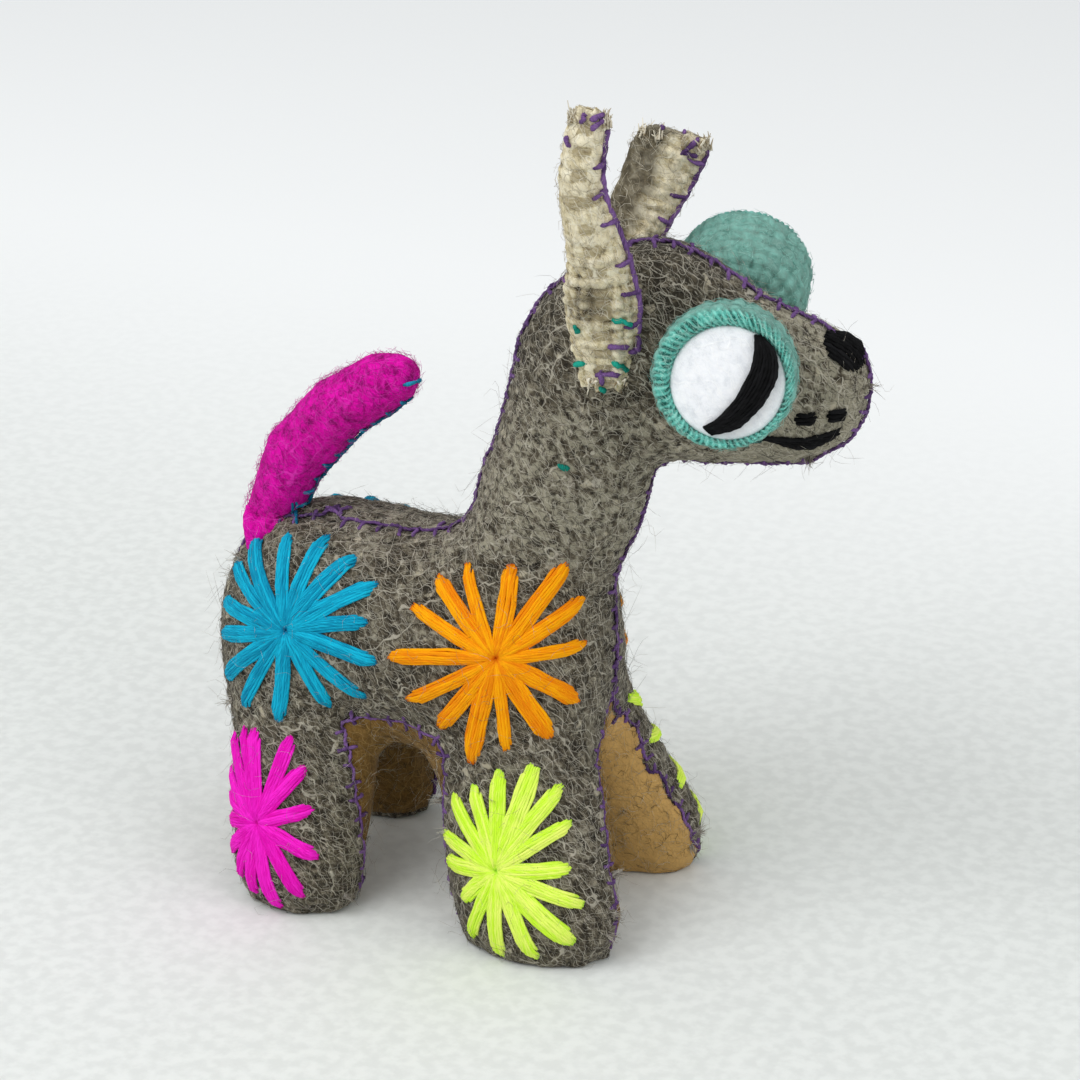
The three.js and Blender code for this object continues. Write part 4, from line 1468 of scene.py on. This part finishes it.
def grouped(tree, group, **values):
    node = tree.nodes.new("ShaderNodeGroup")
    node.node_tree = group
    for label, value in values.items():
        socket = node.inputs[label.replace("_", " ")]
        if isinstance(value, bpy.types.NodeSocket):
            tree.links.new(value, socket)
        else:
            socket.default_value = value
    return node.outputs


print("a mid grey in light:", round(dye(128, 128, 128)[0], 3))

# %% Node groups for fibres
FIBRE_LAYERS = [
    ((0.3, 0.5, 0.2), 0.14, 5.0, (0, 0, 0)),
    ((1.4, 0.4, 1.2), 0.17, 6.0, (31, 7, 12)),
    ((0.6, 1.9, 2.3), 0.12, 4.0, (5, 43, 23)),
    ((2.2, 1.1, 0.7), 0.2, 6.0, (17, 3, 51)),
]


def fibre_group():
    """Thin tangled lines, from an object's own coordinates: crests of bent waves, broken into lengths."""
    group, given, result = new_group(
        "tangled fibres", {"Size": 1.0, "Seed": 0.0, "Width": 0.016, "Amount": 0.5}, ["Fibres", "Height"])
    place = put(group, "TexCoord").outputs["Object"]
    in_mm = put(group, "VectorMath", {0: place, "Scale": 1 / MM}, operation="SCALE").outputs[0]
    sized = put(group, "VectorMath", {0: in_mm, 1: given["Size"]}, operation="DIVIDE").outputs[0]
    moved = put(group, "VectorMath", {0: sized, 1: given["Seed"]}, operation="ADD").outputs[0]
    edge = maths(group, "SUBTRACT", 1.0, given["Width"])
    cut = maths(group, "SUBTRACT", 0.72, maths(group, "MULTIPLY", given["Amount"], 0.4))
    all_lines = None
    for turn, pitch, bend, shift in FIBRE_LAYERS:
        turned_place = put(group, "Mapping", {
            "Vector": moved, "Rotation": turn, "Location": shift,
        }).outputs[0]
        wave = put(group, "TexWave", {
            "Vector": turned_place, "Scale": pitch, "Distortion": bend, "Detail": 1.2, "Detail Scale": 1.6,
        }).outputs["Fac"]
        crest = maths(group, "DIVIDE", maths(group, "SUBTRACT", wave, edge), given["Width"])
        lengths = put(group, "TexNoise", {
            "Vector": turned_place, "Scale": 0.33, "Detail": 1.0,
        }).outputs["Fac"]
        shown = ramped(group, maths(group, "SUBTRACT", lengths, cut), 0.0, 0.06)
        line = maths(group, "MULTIPLY", ramped(group, crest, 0.0, 0.8), shown)
        all_lines = line if all_lines is None else maths(group, "MAXIMUM", all_lines, line)
    fine = put(group, "TexNoise", {"Vector": moved, "Scale": 1.6, "Detail": 3.0}).outputs["Fac"]
    group.links.new(all_lines, result["Fibres"])
    group.links.new(maths(group, "ADD", maths(group, "MULTIPLY", all_lines, 0.6), fine), result["Height"])
    return group


def ply_group():
    """Streaks along a yarn, which run with its length and differ from strand to strand."""
    group, given, result = new_group(
        "yarn fibres", {"Along": 5.0, "Round": 10.0, "Slant": 3.0}, ["Streaks", "Shade"])
    own = put(group, "SeparateXYZ", {0: put(group, "TexCoord").outputs["UV"]}).outputs
    strand = kept_value(group, "strand")
    slanted = maths(group, "ADD", own[1], maths(group, "MULTIPLY", own[0], given["Slant"]))
    spot = put(group, "CombineXYZ", {
        0: maths(group, "MULTIPLY", own[0], given["Along"]),
        1: maths(group, "MULTIPLY", slanted, given["Round"]),
        2: maths(group, "MULTIPLY", strand, 40.0),
    }).outputs[0]
    streaks = put(group, "TexNoise", {"Vector": spot, "Scale": 1.0, "Detail": 2.0}).outputs["Fac"]
    group.links.new(streaks, result["Streaks"])
    slow = put(group, "TexNoise", {
        "Vector": put(group, "TexCoord").outputs["Object"], "Scale": 260.0, "Detail": 2.0,
    }).outputs["Fac"]
    shade = maths(group, "ADD", maths(group, "MULTIPLY", strand, 0.5), maths(group, "MULTIPLY", slow, 0.5))
    group.links.new(shade, result["Shade"])
    return group


fibres = fibre_group()
plies = ply_group()
print("groups:", fibres.name, "and", plies.name)

# %% [markdown]
# Three functions make all the materials. Felted cloth is mottled between a deep and a pale colour, and
# painted shade makes it deeper in its hollows than on its crowns, with tones, flecks and fibres over it.
# Spun yarn has streaks along it and may be darker at its ends. A loose hair has one shade of its own.

# %% Materials
FIBRE_WIDTH = 0.015


def new_material(name, roughness=0.9, sheen=0.06):
    """A material with an empty shader, of dry wool unless told otherwise."""
    material = bpy.data.materials.new(name)
    material.use_nodes = True
    tree = material.node_tree
    shader = tree.nodes["Principled BSDF"]
    shader.inputs["Roughness"].default_value = roughness
    shader.inputs["Specular IOR Level"].default_value = 0.15
    shader.inputs["Sheen Weight"].default_value = sheen
    shader.inputs["Sheen Roughness"].default_value = 0.5
    return material, tree, shader


def bumped(tree, shader, height, depth, strength=0.7):
    bump = put(tree, "Bump", {"Height": height, "Distance": depth, "Strength": strength})
    tree.links.new(bump.outputs[0], shader.inputs["Normal"])


def felted(name, deep_and_painted_shade, middle, pale, dark_fibre, pale_fibre, relief=(-0.5, 0.5), strength=(0.55, 0.6),
           depth=0.25, flecks=None, tones=None, patchy=0.0, greyed=None, sheen=0.06):
    """Felted wool: a mottled ground with painted shade that makes it deeper in its hollows, and dark and
    pale fibres on it.
    """
    material, tree, shader = new_material(name, sheen=sheen)
    # Painted shade: the colour goes deeper where the kept relief is low.
    hollow_painted_shade = ramped(tree, kept_value(tree, "relief"), *relief)
    place = put(tree, "TexCoord").outputs["Object"]
    blots = put(tree, "TexNoise", {
        "Vector": place, "Scale": 460.0, "Detail": 4.0, "Roughness": 0.68,
    }).outputs["Fac"]
    mottled = ramped(tree, blots, 0.3, 0.7, -0.1, 0.65)
    share = maths(tree, "ADD", maths(tree, "MULTIPLY", hollow_painted_shade, 0.45), mottled)
    colour = mixed_colour(tree, ramped(tree, share, 0.0, 0.55), deep_and_painted_shade, middle)
    colour = mixed_colour(tree, ramped(tree, share, 0.5, 1.05), colour, pale)
    # The kept tone mixes in a pale and a dark colour: painted light and painted shade on the body and the
    # felt, real shades of yarn on the woven pieces.
    if tones:
        clumps = put(tree, "TexNoise", {"Vector": place, "Scale": 620.0, "Detail": 2.0}).outputs["Fac"]
        patches = ramped(tree, clumps, 0.34, 0.66, -patchy, patchy)
        tone_and_painted_light = maths(tree, "ADD", kept_value(tree, "tone_and_painted_light"), patches)
        colour = mixed_colour(tree, ramped(tree, tone_and_painted_light, 0.45, 1.0, 0, 0.75), colour, tones[0])
        colour = mixed_colour(tree, ramped(tree, tone_and_painted_light, 0.0, 0.25, 0.7, 0), colour, tones[1])
    if flecks:
        spots = put(tree, "TexNoise", {"Vector": place, "Scale": 330.0, "Detail": 1.0}).outputs["Fac"]
        colour = mixed_colour(tree, ramped(tree, spots, 0.68, 0.76, 0, 0.7), colour, flecks)
    layers = (
        (17, 0.8, strength[0], dark_fibre),
        (29, 0.7, strength[1] * 0.55, pale_fibre),
        (3, 1.0, strength[1], pale_fibre),
    )
    for seed, scale, share, shade in layers:
        lines = grouped(tree, fibres, Size=scale, Seed=float(seed), Width=FIBRE_WIDTH, Amount=0.75)
        colour = mixed_colour(tree, maths(tree, "MULTIPLY", lines["Fibres"], share), colour, shade)
    if greyed:
        blotted = ramped(tree, blots, 0.3, 0.7, 1.0, 0.75)
        grey_share = maths(tree, "MULTIPLY", kept_value(tree, "greyed"), blotted)
        colour = mixed_colour(tree, grey_share, colour, greyed)
    tree.links.new(colour, shader.inputs["Base Color"])
    bumped(tree, shader, lines["Height"], depth * MM)
    return material


def spun(name, shade, bright, ends=None, along=5.0):
    """Yarn, with streaks of fibre along it."""
    material, tree, shader = new_material(name, roughness=0.8, sheen=0.0)
    look = grouped(tree, plies, Along=along, Round=10.0)
    streaked = maths(tree, "MULTIPLY", look["Streaks"], 0.7)
    share = maths(tree, "ADD", streaked, maths(tree, "MULTIPLY", look["Shade"], 0.5))
    colour = mixed_colour(tree, ramped(tree, share, 0.4, 0.8), shade, bright)
    if ends:
        along_strand = put(tree, "SeparateXYZ", {0: put(tree, "TexCoord").outputs["UV"]}).outputs[0]
        off_middle_share = maths(tree, "ABSOLUTE", maths(tree, "SUBTRACT", along_strand, 0.5))
        colour = mixed_colour(tree, ramped(tree, off_middle_share, 0.33, 0.5, 0.0, 0.85), colour, ends)
    tree.links.new(colour, shader.inputs["Base Color"])
    bumped(tree, shader, look["Streaks"], 0.2 * MM)
    return material


def stray(name, first, second):
    """Loose hairs, each with a shade of its own."""
    material, tree, shader = new_material(name, roughness=0.6, sheen=0.0)
    colour = mixed_colour(tree, kept_value(tree, "strand"), first, second)
    tree.links.new(colour, shader.inputs["Base Color"])
    return material


# Its tones are a pale colour for painted light on the muzzle and the neck, and a dark one for painted shade
# on the crown.
grey_wool = felted(
    "grey_wool", dye(30, 26, 20), dye(80, 73, 60), dye(134, 127, 110), dye(22, 19, 15), dye(192, 186, 170),
    flecks=dye(190, 181, 158), strength=(0.72, 0.62), depth=0.35,
    tones=(dye(158, 153, 134), dye(44, 40, 32)), patchy=0.3)
# Its tones are painted light, the pale one on the far front leg, and painted shade, the dark one over the
# rest of the felt.
brown_felt = felted(
    "brown_felt", dye(88, 64, 26), dye(150, 114, 56), dye(180, 144, 82), dye(84, 60, 26),
    dye(196, 162, 104), relief=(-0.3, 0.3), strength=(0.35, 0.35),
    tones=(dye(214, 172, 106), dye(80, 58, 24)))
magenta_felt = felted(
    "magenta_felt", dye(136, 0, 98), dye(214, 0, 158), dye(234, 16, 178), dye(112, 0, 86),
    dye(240, 70, 198), strength=(0.5, 0.45), depth=0.35, sheen=0.0)
# Its greyed colour is the grey lining with painted shade in the left ear's fold, and the grey in the right
# ear's worn hole.
cream_cloth = felted(
    "cream_cloth", dye(74, 62, 42), dye(202, 188, 150), dye(238, 229, 200), dye(110, 94, 64),
    dye(245, 239, 218), relief=(0.05, 0.9), strength=(0.4, 0.6),
    tones=(dye(238, 229, 202), dye(158, 144, 112)), greyed=dye(78, 71, 57))
teal_cloth = felted(
    "teal_cloth", dye(22, 80, 72), dye(94, 180, 166), dye(136, 216, 202), dye(50, 112, 102),
    dye(178, 232, 218), relief=(0.3, 0.9), strength=(0.3, 0.45),
    tones=(dye(122, 208, 192), dye(78, 136, 128)), greyed=dye(120, 150, 140))
white_felt = felted(
    "white_felt", dye(222, 225, 230), dye(240, 242, 246), dye(249, 250, 252), dye(206, 210, 216),
    dye(255, 255, 255), relief=(-1, 1), strength=(0.15, 0.35), depth=0.08)
purple_thread = spun("purple_thread", dye(74, 50, 94), dye(136, 100, 160), along=20.0)
teal_thread = spun("teal_thread", dye(8, 104, 92), dye(36, 168, 146), along=3.0)
blue_thread = spun("blue_thread", dye(6, 92, 128), dye(40, 156, 192), along=20.0)
black_yarn = spun("black_yarn", dye(2, 2, 3), dye(20, 20, 22))
blue_yarn = spun("blue_yarn", dye(0, 132, 170), dye(16, 186, 220), ends=dye(0, 108, 156))
orange_yarn = spun("orange_yarn", dye(236, 132, 0), dye(255, 176, 0), ends=dye(214, 88, 0))
pink_yarn = spun("pink_yarn", dye(226, 0, 176), dye(255, 40, 216), ends=dye(216, 0, 160))
lime_yarn = spun("lime_yarn", dye(204, 250, 50), dye(240, 255, 120), ends=dye(190, 244, 60))
pale_hair = stray("pale_hair", dye(140, 132, 116), dye(222, 216, 200))
dark_hair = stray("dark_hair", dye(20, 17, 14), dye(70, 58, 44))
loose_hair = stray("loose_hair", dye(84, 74, 62), dye(214, 208, 196))
magenta_hair = stray("magenta_hair", dye(160, 0, 122), dye(238, 70, 194))
cream_hair = stray("cream_hair", dye(140, 122, 88), dye(244, 238, 220))
teal_hair = stray("teal_hair", dye(60, 140, 128), dye(180, 232, 220))
print("materials:", len(bpy.data.materials))

# %% [markdown]
# ## Dressing
# Each piece gets its material and is tied to the root body, and the nodes of the frame that it stands for
# are hidden.

# %% Wear
def wear(piece, material, slot, *nodes):
    """Gives a piece its material and hides the nodes that it replaces. slot is not used."""
    piece.data.materials.clear()
    piece.data.materials.append(material)
    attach(piece, "root")
    if nodes:
        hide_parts(*nodes)


wear(dog, grey_wool, "grey_wool", "body")
wear(felt, brown_felt, "brown_felt", "underside")
wear(tail, magenta_felt, "magenta_wool", "tail")
wear(flap, magenta_felt, "magenta_wool")
wear(tail_stitches, blue_thread, "blue_yarn")
wear(tail_end_stitches, blue_thread, "blue_yarn")
wear(teal_stitches, teal_thread, "teal_wool")
wear(wool_tufts, loose_hair, "grey_wool")
wear(middle_seam, purple_thread, "purple_thread")
wear(felt_seam, purple_thread, "purple_thread")
wear(nose, black_yarn, "black_yarn", "nose")
YARNS = {"blue": blue_yarn, "orange": orange_yarn, "pink": pink_yarn, "lime": lime_yarn}
for side in SIDES:
    wear(ears[side], cream_cloth, "cream_cloth", "ear_" + side)
    wear(ear_seams[side], purple_thread, "purple_thread")
    wear(ear_tufts[side], cream_hair, "cream_cloth")
    wear(pads[side], teal_cloth, "teal_wool", "eye_pad_" + side)
    wear(whites[side], white_felt, "white_felt", "eye_white_" + side)
    wear(pupils[side], black_yarn, "black_yarn", "pupil_" + side)
    wear(mouths[side], black_yarn, "black_yarn", "mouth_" + side)
    for place in ("rear", "front"):
        wear(whiskers[side, place], black_yarn, "black_yarn", "whisker_" + side + "_" + place)
    for colour, yarn_material in YARNS.items():
        star = "star_" + colour + "_" + side
        wear(stars[star], yarn_material, colour + "_yarn", star)
    wear(FUZZ["fuzz_ear_" + side], cream_hair, "cream_cloth")
    wear(FUZZ["fuzz_eye_" + side], teal_hair, "teal_wool")
wear(FUZZ["fuzz_wool_pale"], pale_hair, "grey_wool")
wear(FUZZ["fuzz_wool_dark"], dark_hair, "grey_wool")
wear(FUZZ["fuzz_wool_loose"], loose_hair, "grey_wool")
wear(FUZZ["fuzz_tail"], magenta_hair, "magenta_wool")
made = [thing for thing in bpy.data.objects if thing.type == "MESH" and thing.name not in frame["nodes"]]
print("pieces:", len(made), "triangles:", sum(triangles(piece) for piece in made))

# %% [markdown]
# The body, the tail and the cushions are stuffed. The ears, the whites of the eyes and the felt are cut
# flat.

# %% [markdown]
# The floor is a plain pale sheet with a faint grain, with painted light that makes it a little whiter in
# the distance, and even pale surroundings fill the shadows.

# %% Floor and surroundings
bpy.ops.mesh.primitive_plane_add(size=8, location=(0, 0, 0))
floor = bpy.context.object
floor.name = "floor"
paper, tree, shader = new_material("pale_floor", roughness=0.95, sheen=0.0)
place = put(tree, "TexCoord").outputs["Object"]
grain = put(tree, "TexNoise", {"Vector": place, "Scale": 300.0, "Detail": 5.0}).outputs["Fac"]
painted_light_distance = put(tree, "SeparateXYZ", {0: place}).outputs[1]
near_colour = mixed_colour(tree, ramped(tree, grain, 0.35, 0.65), dye(222, 225, 222), dye(231, 234, 231))
# Painted light: the floor's colour whitens further away.
colour = mixed_colour(tree, ramped(tree, painted_light_distance, 0.05, 0.35), near_colour, dye(253, 255, 255))
tree.links.new(colour, shader.inputs["Base Color"])
bumped(tree, shader, grain, 0.1 * MM, strength=0.3)
floor.data.materials.append(paper)
world = bpy.data.worlds.new("pale_room")
world.use_nodes = True
world.node_tree.nodes["Background"].inputs["Color"].default_value = (0.97, 0.985, 1.0, 1)
world.node_tree.nodes["Background"].inputs["Strength"].default_value = 0.5
bpy.context.scene.world = world
print("floor side in m:", floor.dimensions.x)
